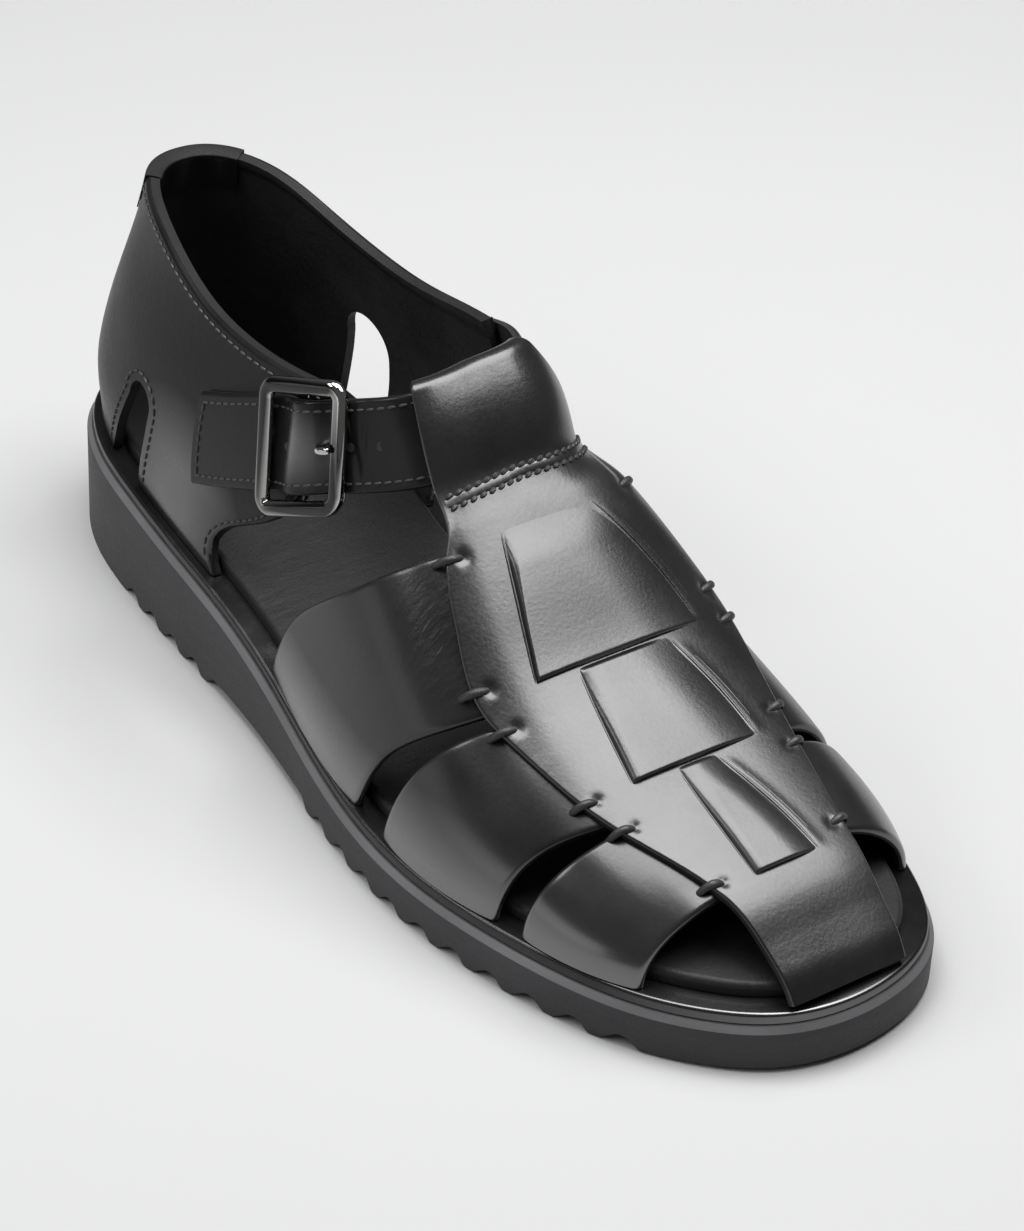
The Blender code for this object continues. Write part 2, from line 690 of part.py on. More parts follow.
def make_buckle(material, collection, cutters):
    """Frame with rounded corners over the strap, its centre bar under the strap, and the prong."""
    corners = ((1, 1), (-1, 1), (-1, -1), (1, -1))
    along, across = [], []
    for quarter, (right, up) in enumerate(corners):
        for step in range(6):
            angle = math.pi / 2 * (quarter + step / 5)
            along.append(right * (BUCKLE_HALF_LENGTH - BUCKLE_CORNER) + BUCKLE_CORNER * math.cos(angle))
            across.append(up * (BUCKLE_HALF_HEIGHT - BUCKLE_CORNER) + BUCKLE_CORNER * math.sin(angle))
    over = ANKLE_STRAP_THICKNESS + 2 * GAP + BUCKLE_WIRE
    frame_path = buckle_path(along, across, np.full(len(along), over))
    frame = tube_body("buckle_frame", frame_path, BUCKLE_WIRE, material, collection, cyclic=True)
    bar_across = np.array([-1.0, -0.93, -0.86, -0.4, 0.0, 0.4, 0.86, 0.93, 1.0]) * BUCKLE_HALF_HEIGHT
    low = BAR_WIRE + 0.5 * GAP
    bar_offset = np.array([over, 0.6 * over, low, low, low, low, low, 0.6 * over, over])
    bar_path = buckle_path(np.zeros(9), bar_across, bar_offset)
    combine(frame, tube_body("buckle_bar", bar_path, BAR_WIRE, material, cutters), "UNION")
    prong_along = np.array([2.4, 3.9, 5.4, 7.4, 10.0, 13.2])
    top = over + BUCKLE_WIRE + GAP + PRONG_WIRE
    prong_offset = np.array([1.2, 1.6, 3.1, 5.2, top - 0.2, top])
    prong_path = buckle_path(prong_along, np.zeros(6), prong_offset)
    tube_body("buckle_prong", prong_path, PRONG_WIRE, material, collection)


def loop_wall(material, cutters):
    """Sleeve at the head of the T-bar round the ankle strap."""
    runs = np.linspace(LOOP_LATERAL_RUN, LOOP_MEDIAL_RUN, 13)
    rings = []
    for run in runs:
        for wall in (LOOP_CLEARANCE, LOOP_CLEARANCE + LOOP_WALL):
            rings.append(loop_ring(run, wall, LOOP_SEAM if wall > LOOP_CLEARANCE else 0.0))
    rings = np.array(rings).reshape(len(runs), 2, -1, 3)
    inner, outer = rings[:, 0], rings[:, 1]
    count = inner.shape[1]
    across = np.concatenate([outer, inner[::-1]])
    return torus_body("strap_loop", across.reshape(-1, count, 3), material, cutters)


def loop_ring(run, wall, seam):
    """A flat ring round the strap's section at one run, clear of it by the wall, longer by the seam."""
    angle = np.arange(20) * 2 * math.pi / 20
    half_thickness = ANKLE_STRAP_THICKNESS / 2 + wall
    flat = ANKLE_STRAP_WIDTH / 2 + wall - half_thickness
    side = np.sign(np.round(np.cos(angle), 6))
    across = flat * side + half_thickness * np.cos(angle) - seam * (side < 0)
    lift = half_thickness * np.sin(angle)
    shares = 0.5 - across / ANKLE_STRAP_WIDTH
    flare = LOOP_FLARE * max(run - 1, 0) * shares
    seat, normal = strap_surface(run + flare, shares)
    return seat + (ANKLE_STRAP_THICKNESS / 2 + lift)[:, None] * normal


def quarter_grid(girth_count, height_count):
    """Inner face of the quarter and its normals, from the lateral front edge round to the medial one."""
    fraction = np.linspace(0, 1, height_count)
    lateral = spline(QUARTER_FRONT["fraction"], QUARTER_FRONT["lateral"])(fraction)
    medial = spline(QUARTER_FRONT["fraction"], QUARTER_FRONT["medial"])(fraction)
    across = np.linspace(-1, 1, girth_count)[:, None]
    girth = np.where(across < 0, across * lateral, across * medial)
    low_ring = ankle_points(girth, np.full(girth.shape, RINGS["height"][1]))[..., :2]
    edge = outline(FULL_TURN, WALL_BASE_INSET + QUARTER_THICKNESS - STRAP_THICKNESS)
    nearest = np.argmin(np.sum((low_ring[..., None, :] - edge) ** 2, axis=-1), axis=-1)
    foot = edge[nearest]
    base = ledge(foot[..., 0]) + GAP
    top = spline(TOP_LINE["girth"], TOP_LINE["height"])(girth)
    grid = ankle_points(girth, base + (top - base) * fraction)
    rise = np.clip(fraction / QUARTER_FOOT, 0, 1)
    pull = (1 - rise * rise * (3 - 2 * rise))[:, None]
    grid[..., :2] += (foot - low_ring) * pull
    normal = grid_normals(grid, (80, QUARTER_AXIS_Y, 60))
    normal[:, 0, 2] = 0
    return grid, normal / np.linalg.norm(normal, axis=-1, keepdims=True)


def make_quarter(material, collection, cutters):
    """Heel counter and quarters as one wall, cut by an arch on each side."""
    inner, normal = quarter_grid(49, 9)
    wall = sheet_body("upper_quarter", inner, inner + QUARTER_THICKNESS * normal, material, collection)
    for row in zip(*ARCHES.values()):
        side, bottom_rear, bottom_front, top_rear, top_front, height = row
        middle = (top_rear + top_front) / 2
        radius = (top_front - top_rear) / 2
        sill = float(ledge(middle))
        arc = [(middle + radius * math.cos(t), height - radius + radius * math.sin(t))
               for t in np.linspace(0, math.pi, 9)]
        section = [(bottom_front, sill - CUTTER_DEPTH), (bottom_front, sill)] + arc
        section += [(bottom_rear, sill), (bottom_rear, sill - CUTTER_DEPTH)]
        across = (QUARTER_AXIS_Y + side * ARCH_CUTTER_START, QUARTER_AXIS_Y + side * CUTTER_REACH)
        name = "arch_lateral" if side < 0 else "arch_medial"
        combine(wall, prism_body(name, section, across, material, cutters), "DIFFERENCE")


def make_heel_tab(material, collection):
    """Binding folded over the top line at the back of the heel."""
    girth = np.linspace(-TAB_HALF_GIRTH, TAB_HALF_GIRTH, 13)
    top = spline(TOP_LINE["girth"], TOP_LINE["height"])(girth)
    near = GAP
    far = GAP + TAB_THICKNESS
    section = (
        (-far, -TAB_DROP), (-far, 0.4 * far), (-0.4 * far, far), (QUARTER_THICKNESS + 0.4 * far, far),
        (QUARTER_THICKNESS + far, 0.4 * far), (QUARTER_THICKNESS + far, -TAB_DROP),
        (QUARTER_THICKNESS + near, -TAB_DROP), (QUARTER_THICKNESS + near, near),
        (-near, near), (-near, -TAB_DROP),
    )
    rings = []
    for out, rise in section:
        levels = np.stack([top + rise, top + rise + 1.0])
        grid = ankle_points(np.broadcast_to(girth, levels.shape), levels)
        normal = grid_normals(grid, (80, QUARTER_AXIS_Y, 60))
        rings.append(grid[0] + out * normal[0])
    rows = np.array(rings).transpose(1, 0, 2)
    count = len(section)
    faces = quad_grid(len(rows), count, closed=True)
    for start in (0, (len(rows) - 1) * count):
        faces += [[start + corner for corner in cap] for cap in
                  ((0, 1, 8, 9), (1, 2, 8), (2, 3, 7, 8), (3, 4, 7), (4, 5, 6, 7))]
    body("heel_tab", rows, faces, material, collection)


def make_vamp(material, collection, cutters):
    """Upper over the foot: T-bar, its loop and the cross straps joined into one wall."""
    vamp = tbar_wall(material, collection)
    for number, edges in enumerate(STRAPS, 1):
        combine(vamp, strap_wall(f"cross_strap_{number}", edges, material, cutters), "UNION")
    combine(vamp, loop_wall(material, cutters), "UNION")


def build():
    """Clear the scene and make every piece."""
    for item in list(bpy.data.objects):
        bpy.data.objects.remove(item)
    collection = bpy.data.collections.new("fisherman_sandal")
    cutters = bpy.data.collections.new("cutters")
    bpy.context.scene.collection.children.link(collection)
    bpy.context.scene.collection.children.link(cutters)
    rubber = finish("rubber", (0.045, 0.045, 0.048), 0.7)
    runner = finish("runner_leather", (0.012, 0.012, 0.013), 0.35)
    lining = finish("insole_leather", (0.015, 0.015, 0.016), 0.5)
    calf = finish("black_leather", (0.012, 0.012, 0.013), 0.25)
    nickel = finish("nickel", (0.75, 0.74, 0.71), 0.15, 1.0)
    make_outsole(rubber, collection, cutters)
    make_midsole(runner, collection)
    make_insole(lining, collection)
    make_vamp(calf, collection, cutters)
    make_quarter(calf, collection, cutters)
    make_heel_tab(calf, collection)
    make_ankle_strap(calf, collection, cutters)
    make_buckle(nickel, collection, cutters)


if __name__ == "__main__":
    build()
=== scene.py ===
"""Fisherman sandal, right shoe: finished leather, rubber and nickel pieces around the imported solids.

The tables are in millimetres, as in the part's own source: a station runs forward from the back of the heel,
a height up from the floor, and Y to the inner (medial) side. Pieces are made in metres at the origin.
"""
import math

import bpy
import numpy as np
from bpy.props import FloatProperty, FloatVectorProperty, PointerProperty
from bpy.types import Operator, Panel, PropertyGroup
from mathutils import Matrix, Vector


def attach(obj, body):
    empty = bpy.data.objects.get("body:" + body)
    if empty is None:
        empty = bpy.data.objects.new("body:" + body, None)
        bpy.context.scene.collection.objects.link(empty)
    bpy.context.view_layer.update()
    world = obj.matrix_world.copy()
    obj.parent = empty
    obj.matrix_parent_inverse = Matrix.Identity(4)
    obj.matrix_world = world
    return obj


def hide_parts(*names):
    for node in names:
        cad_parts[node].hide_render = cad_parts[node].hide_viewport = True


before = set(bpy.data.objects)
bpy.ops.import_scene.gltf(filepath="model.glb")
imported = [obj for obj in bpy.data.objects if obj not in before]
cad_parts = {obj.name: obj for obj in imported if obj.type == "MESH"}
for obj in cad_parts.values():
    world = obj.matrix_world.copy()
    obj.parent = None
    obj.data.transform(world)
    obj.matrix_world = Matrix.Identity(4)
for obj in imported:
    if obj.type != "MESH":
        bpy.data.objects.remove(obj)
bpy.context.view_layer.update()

bl_info = {
    "name": "Fisherman sandal",
    "version": (1, 0, 0),
    "blender": (4, 5, 0),
    "location": "3D View > Sidebar > Sandal",
    "description": "Makes the finished pieces of a woven leather sandal and the studio round it",
    "category": "Add Mesh",
}

# A millimetre in metres, the gap between neighbouring pieces, the sole's length, and guards against zero
MM = 0.001
GAP = 0.3
LENGTH = 296.0
TINY = 1e-9
LEAST_LENGTH = 1e-12

# Points in a section of the last and in half a ring round the ankle, and steps for slopes
SECTION_POINTS = 181
RING_POINTS = 241
TURN_STEP = 1e-4
RIDGE_STEP = 0.05
SURFACE_STEP = 0.4
RUN_STEP = 1e-3
HEIGHT_STEP = 1.0
SECTION_LIMIT = 0.98

# Sole
SOLE_POINTS = 1400
LAYER_POINTS = 480
CHAMFER_WIDTH = 1.3
CHAMFER_HEIGHT = 1.8
TOE_SPRING = 1.5
TOE_SPRING_START = 250.0
MIDSOLE_INSET = 1.6
MIDSOLE_THICKNESS = 2.6
MIDSOLE_ROUND = 1.0
INSOLE_INSET = 7.8
INSOLE_THICKNESS = 3.4
INSOLE_ROUND = 1.6
ROUND_STEPS = 7
WALL_BASE_INSET = 6.2

# Tread: each tooth as shares of the pitch and heights, softened over a short distance, then cut flat
TOOTH_PITCH = 11.3
TOOTH_DEPTH = 2.9
TIP_LEVEL = -0.4
TOOTH = ((0.0, TIP_LEVEL), (0.4, TOOTH_DEPTH), (0.6, 0.93 * TOOTH_DEPTH), (0.86, TIP_LEVEL))
HEEL_FIRST_TIP = 53.0
HEEL_TIPS = 5
FOREFOOT_FIRST_TIP = 158.5
FOREFOOT_TIPS = 11
WAIST_SLOPE = 0.4 * TOOTH_PITCH
WAIST_FOOT = 0.14 * TOOTH_PITCH
TREAD_SOFTNESS = np.linspace(-0.5, 0.5, 5)

# Rings of the outsole: inset and height over the tread, then inset and depth under the top face
OUTSOLE_LOW = ((0.8, 0.0), (0.2, 0.1), (0.0, 0.4))
OUTSOLE_HIGH = (
    (0.0, CHAMFER_HEIGHT + 0.15), (0.12, CHAMFER_HEIGHT - 0.1), (CHAMFER_WIDTH - 0.1, 0.12),
    (CHAMFER_WIDTH + 0.25, 0.0),
)
# Ring whose faces take the lighter colour of the upper edge, a painted highlight
BEVEL_RING = 5

# Cross straps: rows and columns, flare at the sole, crown along the middle, rounding of the edges
STRAP_GRID = (37, 181)
FLARE_FROM = 0.66
FLARE_EDGE = 0.6
CROWN = 0.5
CROWN_POWER = 0.7
STRAP_EDGE = 1.3
STRAP_EDGE_SHARE = 0.5
STRAP_UNDERCUT = 0.25
STRAP_UNDER_EDGE = 1.0

# T-bar: height over the last, rows of the grid from tail to toe, rounding of its long edges
TBAR_TOP = 4.5
TBAR_TOE_TOP = 2.7
TBAR_TOE_START = 266.0
TBAR_TOE_END = 280.0
TBAR_HEAD = 173.0
TBAR_COLUMNS = 121
TAIL_ROWS = 13
FOLD_ROWS = 17
FRONT_ROWS = 29
BRIDGE_ROWS = 16
PLATE_ROWS = 160
TBAR_EDGE = 0.7
TBAR_EDGE_DROP = 0.3

# Sleeve at the T-bar's head
LOOP_CLEARANCE = 0.6
LOOP_LATERAL_RUN = 0.915
LOOP_MEDIAL_RUN = 1.105
LOOP_FLARE = 0.6
SLEEVE_SWELL = 1.2
SLEEVE_MARGIN = 1.0
SLEEVE_TAIL = -9.0
SLEEVE_FOOT = -11.0

# Fields of the T-bar: rows and columns, arch along the field, height beside the slits, cut front edge
FIELD_GRID = (61, 81)
FIELD_RISE_END = 0.7
FIELD_ARC_START = 0.22
FIELD_ARC = 0.43
FIELD_LOW = 0.1
FIELD_HIGH = 1.6
FIELD_SUNK = 0.06
FIELD_EDGE = 0.8
FIELD_EDGE_DROP = 0.4
FIELD_THICKNESS = 0.85

# Swell of the T-bar beside a medial slit: height, distance from the slit, width, and fading at either end
SLIT_SWELL = 0.25
SLIT_SWELL_AT = 1.2
SLIT_SWELL_WIDTH = 1.6
SLIT_SWELL_REAR = 1.0
SLIT_SWELL_REAR_FADE = 4.0
SLIT_SWELL_FRONT = 0.5
SLIT_SWELL_FRONT_FADE = 3.0

# Ridges along the slits: distance from the slit and radius of the medial ones
LATERAL_RIDGE_AT = -0.25
MEDIAL_RIDGES = ((0.4, 0.55), (2.1, 0.3))
RIDGE_POINTS = 41
RIDGE_START = 1.5
RIDGE_SHORTER = 1.7
RIDGE_SUNK = 0.05
RIDGE_END = 0.15
RIDGE_TAPER = 0.4

# Seam across the T-bar's head: rows after the sleeve, columns of the grid, slant in rows, half width and
# height of the welt, and pitch, length, radius and lean of the stitches
SEAM_ROWS = np.array([4.6, 8.2])
SEAM_COLUMNS = np.arange(14, 100)
SEAM_SLANT = 3.0
WELT = (1.2, 0.22)
WELT_POWER = 2.4
SEAM_STITCH = (2.5, 2.0, 0.62, 0.35)

# Thread tacks: reach either side of the edge, heights over the last, section, and the dimple each one makes
TACK_POINTS = 17
TACK_INSIDE = 3.2
TACK_OUTSIDE = 2.6
TACK_SLANT = -1.2
TACK_SUNK = 1.3
TACK_CROWN = 2.7
TACK_FOOT = 1.4
TACK_END = 0.8
TACK_FLATNESS = 1.25
DIMPLE_RADIUS = 1.3
DIMPLE_DEPTH = 0.6

# Quarter: columns and rows, foot drawn in to the sole, rounding of its edges, collar thickened inwards
QUARTER_GRID = (261, 101)
QUARTER_AXIS_Y = -3.0
QUARTER_FOOT = 0.3
QUARTER_FOOT_INSET = WALL_BASE_INSET + 0.4
QUARTER_EVEN = 0.35
QUARTER_REACH = 130.0
QUARTER_HEIGHT = 68.0
QUARTER_EDGE = 1.5
QUARTER_EDGE_SHARE = 0.55
COLLAR_ROLL = 0.9
COLLAR_ROLL_FROM = 0.93
COLLAR_ROLL_OVER = 0.05
ARCH_OPEN_BELOW = 12.0
ARCH_POINTS = 25
EDGE_BLOCKS = 40

# Binding at the back
BINDING_GAP = 0.1
BINDING = 0.35
TAB_DROP = 10.0
TAB_HALF_GIRTH = 0.1
TAB_COLUMNS = 61
TAB_SIDE_ROWS = 7
TAB_FOLD_ROWS = 11

# Ankle strap: points along and across it, rounding of its edges, creases, pointed end, middle of its width
ANKLE_STRAP_WIDTH = 25.0
ANKLE_STRAP_THICKNESS = 2.0
BAND_ROWS = 281
BAND_COLUMNS = 31
BAND_EDGE = 1.1
BAND_EDGE_SHARE = 0.5
CREASE_WIDTH = 1.1
CREASE_REACH = 0.25
ARROW_POINT = 0.085
STRAP_MIDDLE = np.array([0.5])

# Holes of the ankle strap: distances from the buckle, and the radius and height of each ring of a hole
HOLES_AT = (-5.2, 16.0, 26.0)
HOLE_RADIUS = 1.0
HOLE_SIDES = 16
HOLE_SPREAD = np.array([1.12, 1.0, 0.8, 0.05])
HOLE_RISE = np.array([0.0, 0.06, -0.1, -0.12])

# Buckle: its place on the strap, its frame, its bar, which bends down beside the strap, and the strap's hump
BUCKLE_RUN = 0.71
BUCKLE_RUN_LENGTH = 185.0
BUCKLE_SQUARE = 0.16
BUCKLE_HALF_LENGTH = 14.3
BUCKLE_HALF_HEIGHT = 16.0
BUCKLE_CORNER = 3.4
CORNER_POINTS = 9
FRAME_OVER = 1.5
BAR_WIRE = 1.1
BAR_REACH = np.array([-1.0, -0.93, -0.86, -0.4, 0.0, 0.4, 0.86, 0.93, 1.0])
BAR_BEND = (0.86, 0.93, 1.0)
BAR_BEND_DEPTH = 0.6
HUMP_HEIGHT = 3.0
HUMP_HALF_LENGTH = 12.5

# Prong: distances from the bar and heights over the strap, then its thinner tip
PRONG_ALONG = (2.4, 3.9, 5.4, 7.4, 10.0, 13.2)
PRONG_RISE = (1.2, 1.6, 3.1, 5.2)
PRONG_OVER = 3.0
PRONG_LAST_RISE = 0.2
PRONG_POINTS = 25
PRONG_TIP = 0.75
PRONG_GAIN = 0.4
PRONG_TIP_LENGTH = 3.0
PRONG_FLATNESS = 0.8

# Stitches: rings and sides of one, its shape, and how far rows lie from the edges
STITCH_RINGS = 5
STITCH_SIDES = 6
STITCH_CAP = 0.12
STITCH_TAPER = 0.6
STITCH_PROUD = 0.25
STITCH_STEP = 0.5
COLLAR_STITCH = 2.6
COLLAR_COLUMNS = slice(8, -8)
FRONT_COLUMNS = (7, -8)
FRONT_STITCH_ROWS = slice(3, 96)
ARCH_STITCH = 2.4
ARCH_STITCH_END = 3.0
ARCH_STITCH_POINTS = 90
BAND_STITCH = (0.11, 0.89)
BAND_STITCH_FROM = 3
BAND_END_ROWS = (4, -6)
BAND_END_POINTS = 30

# Sides of round sections
THREAD_SIDES = 10
WIRE_SIDES = 12
FRAME_SIDES = 24

# Angles over which an edge stays sharp, in degrees
SOLE_SHARP = 28.0
PLAIN_SHARP = 40.0
LEATHER_SHARP = 50.0
METAL_SHARP = 60.0


def columns(names, *rows):
    """A table as one array for each named column."""
    return dict(zip(names, np.array(rows, float).T))


def records(table):
    """The rows of such a table, one dictionary each."""
    return [dict(zip(table, values)) for values in zip(*table.values())]


SOLE = columns(
    ("station", "lateral", "medial", "top"),
    (0, -0.5, -0.5, 29.5), (10, -25.0, 24.0, 29.5), (20, -32.0, 30.5, 29.4), (35, -37.6, 34.4, 29.2),
    (55, -40.9, 35.3, 28.6), (80, -43.0, 33.0, 26.7), (105, -44.2, 28.9, 23.8), (130, -46.6, 29.6, 19.5),
    (155, -50.5, 37.6, 15.0), (180, -53.6, 47.8, 12.3), (205, -53.7, 54.3, 11.8), (230, -49.6, 55.4, 12.1),
    (250, -43.6, 52.7, 12.1), (268, -35.2, 47.6, 12.2), (282, -24.4, 40.2, 12.5), (291, -13.0, 29.5, 12.8),
    (LENGTH, 7.5, 7.5, 13.0),
)

# Ridge of the last under the T-bar
RIDGE = columns(
    ("station", "height", "across"),
    (120, 112.0, -2.0), (140, 101.0, 1.0), (158, 88.5, 4.0), (172, 79.0, 5.0), (188, 67.0, 4.5),
    (204, 55.2, 3.0), (220, 47.0, 2.5), (234, 41.2, 3.0), (250, 36.2, 4.5), (266, 31.6, 6.5),
    (276, 27.6, 7.0), (283.5, 22.6, 7.0), (287.6, 18.9, 7.0), (289.3, 16.3, 7.0),
)
SECTION_TOP_POWER = 3.4
SECTION_SIDE_POWER = 2.0

TBAR = columns(
    ("station", "lateral", "medial"),
    (164.5, -18.6, 22.0), (168, -19.2, 24.0), (174, -23.0, 27.0), (188, -28.8, 32.0), (203, -32.2, 35.5),
    (213, -30.6, 34.6), (234, -25.0, 31.0), (250, -18.6, 28.0), (264, -12.6, 25.4), (277, -9.6, 24.4),
    (289.5, -8.5, 23.5),
)

# Fields where a cross strap comes up through the T-bar: the slits' places, bow of the medial slit, radius of
# the lateral ridge, the distance to rise from the rear, from the lateral slit at either end of it, the depth
# there, and the distance to roll down to the medial slit
PILLOWS = columns(
    (
        "rear", "front", "lateral_rear", "lateral_front", "medial_rear", "medial_front", "bow", "ridge",
        "back", "rise_rear", "rise_front", "sink", "roll",
    ),
    (174.0, 204.5, -10.8, -19.8, 11.9, 25.0, 2.0, 0.45, 9.0, 2.4, 0.5, 0.65, 19.0),
    (204.7, 234.0, -9.4, -13.4, 14.8, 21.1, 1.4, 0.24, 1.4, 6.0, 2.5, 0.1, 15.0),
    (234.2, 266.0, -1.6, -2.3, 8.3, 15.0, 1.2, 0.24, 1.4, 5.0, 2.5, 0.1, 8.0),
)

# Edges of the cross straps by girth: -1 at the lateral sole, 0 on the ridge, 1 at the medial sole
STRAP_GIRTH = (-1.0, -0.78, -0.6, -0.42, -0.28, 0.0, 0.28, 0.42, 0.6, 0.78, 1.0)
STRAPS = (
    columns(
        ("rear", "front"),
        (129, 178), (139, 186), (154, 197), (167, 204.5), (173.5, 206), (174, 205),
        (169, 204.5), (159, 200), (146, 191), (133, 182), (124, 175),
    ),
    columns(
        ("rear", "front"),
        (189.5, 229), (194.5, 231), (201, 235), (207.5, 239), (209.5, 239), (208, 234),
        (203.5, 234), (200.5, 233), (193.5, 231), (186, 229), (181, 227),
    ),
    columns(
        ("rear", "front"),
        (236, 265), (237.5, 265.5), (239.5, 266), (240.5, 266), (240, 266), (238.5, 266),
        (236.5, 263), (236, 262.5), (235, 263), (233.5, 263.5), (232, 264),
    ),
)

# Rings round the heel and ankle
RINGS = columns(
    (
        "height", "back", "widest", "front", "lateral", "medial", "back_power", "lateral_power",
        "medial_power",
    ),
    (20, 7.6, 60, 212, -33.8, 28.2, 2.45, 2.4, 2.4),
    (32, 7.4, 60, 204, -34.2, 28.7, 2.45, 2.4, 2.4),
    (50, 8.0, 64, 190, -34.6, 29.4, 2.4, 2.4, 2.5),
    (72, 12.5, 78, 172, -32.4, 26.3, 2.35, 2.4, 3.1),
    (92, 18.5, 90, 157, -28.2, 22.0, 2.3, 2.4, 3.1),
    (112, 24.0, 95, 140, -26.0, 19.5, 2.25, 2.4, 2.6),
)

QUARTER_FRONT = columns(
    ("fraction", "lateral", "medial"),
    (0.0, 0.462, 0.470), (0.1, 0.460, 0.476), (0.26, 0.505, 0.52), (0.45, 0.60, 0.60),
    (0.7, 0.69, 0.68), (1.0, 0.765, 0.74),
)

TOP_LINE = columns(
    ("girth", "height"),
    (-0.77, 96.5), (-0.57, 93.3), (-0.43, 94.2), (-0.27, 99.5), (-0.15, 102.0), (0.0, 101.8), (0.11, 101.2),
    (0.2, 98.6), (0.285, 94.2), (0.375, 91.3), (0.495, 91.5), (0.63, 95.5), (0.75, 99.5),
)

ARCHES = columns(
    ("side", "bottom_rear", "bottom_front", "top_rear", "top_front", "height"),
    (-1, 37.0, 54.5, 50.0, 60.5, 62.0),
    (1, 46.0, 68.5, 51.0, 69.5, 65.0),
)

# Edges of the ankle strap; run goes from the heel round the lateral side, is 1 at the front, then medial
ANKLE_STRAP = columns(
    ("run_top", "height_top", "run_bottom", "height_bottom", "lift"),
    (0.468, 75.3, 0.443, 50.0, 2.9), (0.535, 80.3, 0.505, 55.0, 2.9), (0.605, 85.6, 0.575, 60.8, 2.9),
    (0.690, 90.8, 0.655, 67.0, 2.9), (0.770, 94.9, 0.740, 72.9, 2.9), (0.845, 98.5, 0.835, 78.8, 2.7),
    (0.920, 101.5, 0.920, 83.6, 3.2), (1.000, 103.8, 1.000, 86.3, 0.8), (1.085, 103.0, 1.085, 83.8, 3.2),
    (1.150, 101.3, 1.160, 79.5, 2.7), (1.225, 99.0, 1.240, 75.0, 2.9), (1.300, 95.5, 1.310, 70.5, 2.9),
    (1.385, 91.0, 1.368, 66.0, 2.9),
)

# Creases of the ankle strap where it leaves the buckle: lean in millimetres over the width, middle as a share
STRAP_CREASES = columns(
    ("run", "lean", "middle", "depth"),
    (0.792, 6.0, 0.35, 0.5), (0.806, 2.0, 0.62, 0.4), (0.822, -5.0, 0.4, 0.35), (0.840, 4.0, 0.55, 0.22),
    (0.628, -4.0, 0.5, 0.25),
)

# Stations of the thread tacks on either edge of the T-bar
TACKS = {
    "lateral": (176.5, 201.0, 210.5, 233.0, 242.5, 263.5),
    "medial": (173.5, 197.5, 204.5, 228.0, 238.0, 260.5),
}


def spline(knots, values, period=None):
    """Natural cubic spline through the values, or a periodic one, as a function of an array."""
    x = np.asarray(knots, float)
    y = np.asarray(values, float)
    if period is not None:
        x = np.append(x, x[0] + period)
        y = np.append(y, y[0])
    step = np.diff(x)
    slope = np.diff(y) / step
    count = len(x)
    matrix = np.zeros((count, count))
    right = np.zeros(count)
    for i in range(1, count - 1):
        matrix[i, i - 1:i + 2] = step[i - 1], 2 * (step[i - 1] + step[i]), step[i]
        right[i] = 6 * (slope[i] - slope[i - 1])
    if period is None:
        matrix[0, 0] = matrix[-1, -1] = 1
    else:
        matrix[0, 0], matrix[0, -1] = 1, -1
        matrix[-1, [0, 1, -2, -1]] = 2 * step[0], step[0], step[-1], 2 * step[-1]
        right[-1] = 6 * (slope[0] - slope[-1])
    bend = np.linalg.solve(matrix, right)

    def evaluate(t):
        t = np.asarray(t, float)
        t = np.clip(t, x[0], x[-1]) if period is None else x[0] + np.mod(t - x[0], period)
        i = np.clip(np.searchsorted(x, t, side="right") - 1, 0, count - 2)
        before = t - x[i]
        after = x[i + 1] - t
        cubic = (bend[i] * after ** 3 + bend[i + 1] * before ** 3) / (6 * step[i])
        first = (y[i] / step[i] - bend[i] * step[i] / 6) * after
        return cubic + first + (y[i + 1] / step[i] - bend[i + 1] * step[i] / 6) * before

    return evaluate


def outline_function():
    """Y of the sole's edge by turn: 0 at the heel, pi at the toe, the lateral side first."""
    turn = np.arccos(1 - 2 * SOLE["station"] / LENGTH)
    turns = np.concatenate([turn, 2 * math.pi - turn[-2:0:-1]])
    across = np.concatenate([SOLE["lateral"], SOLE["medial"][-2:0:-1]])
    return spline(turns, across, period=2 * math.pi)


outline_across = outline_function()
sole_top = spline(SOLE["station"], SOLE["top"])
ridge_height = spline(RIDGE["station"], RIDGE["height"])
ridge_across = spline(RIDGE["station"], RIDGE["across"])
tbar_lateral = spline(TBAR["station"], TBAR["lateral"])
tbar_medial = spline(TBAR["station"], TBAR["medial"])
top_line = spline(TOP_LINE["girth"], TOP_LINE["height"])
ring_columns = {name: spline(RINGS["height"], RINGS[name]) for name in RINGS}
strap_middle = (ANKLE_STRAP["run_top"] + ANKLE_STRAP["run_bottom"]) / 2
strap_columns = {name: spline(strap_middle, ANKLE_STRAP[name]) for name in ANKLE_STRAP}
BAND_RUNS = np.linspace(strap_middle[0], strap_middle[-1], BAND_ROWS)


def outline(turn, inset=0.0):
    """Plan points of the sole's edge, moved inwards by the inset.

    The station is half of one less the cosine of the turn, as a share of the length.
    """
    turn = np.asarray(turn, float)
    along = LENGTH * np.sin(turn) / 2
    across = (outline_across(turn + TURN_STEP) - outline_across(turn - TURN_STEP)) / (2 * TURN_STEP)
    size = np.hypot(along, across)
    x = LENGTH * (1 - np.cos(turn)) / 2 - inset * across / size
    y = outline_across(turn) + inset * along / size
    return np.stack([x, y], axis=-1)


HALF_TURN_STEPS = 720
FULL_TURN = np.linspace(0, 2 * math.pi, 2 * HALF_TURN_STEPS + 1)
EDGE_ACROSS = outline(FULL_TURN)[:, 1]
CENTRE = np.array([LENGTH / 2, (EDGE_ACROSS.min() + EDGE_ACROSS.max()) / 2, 0.0])


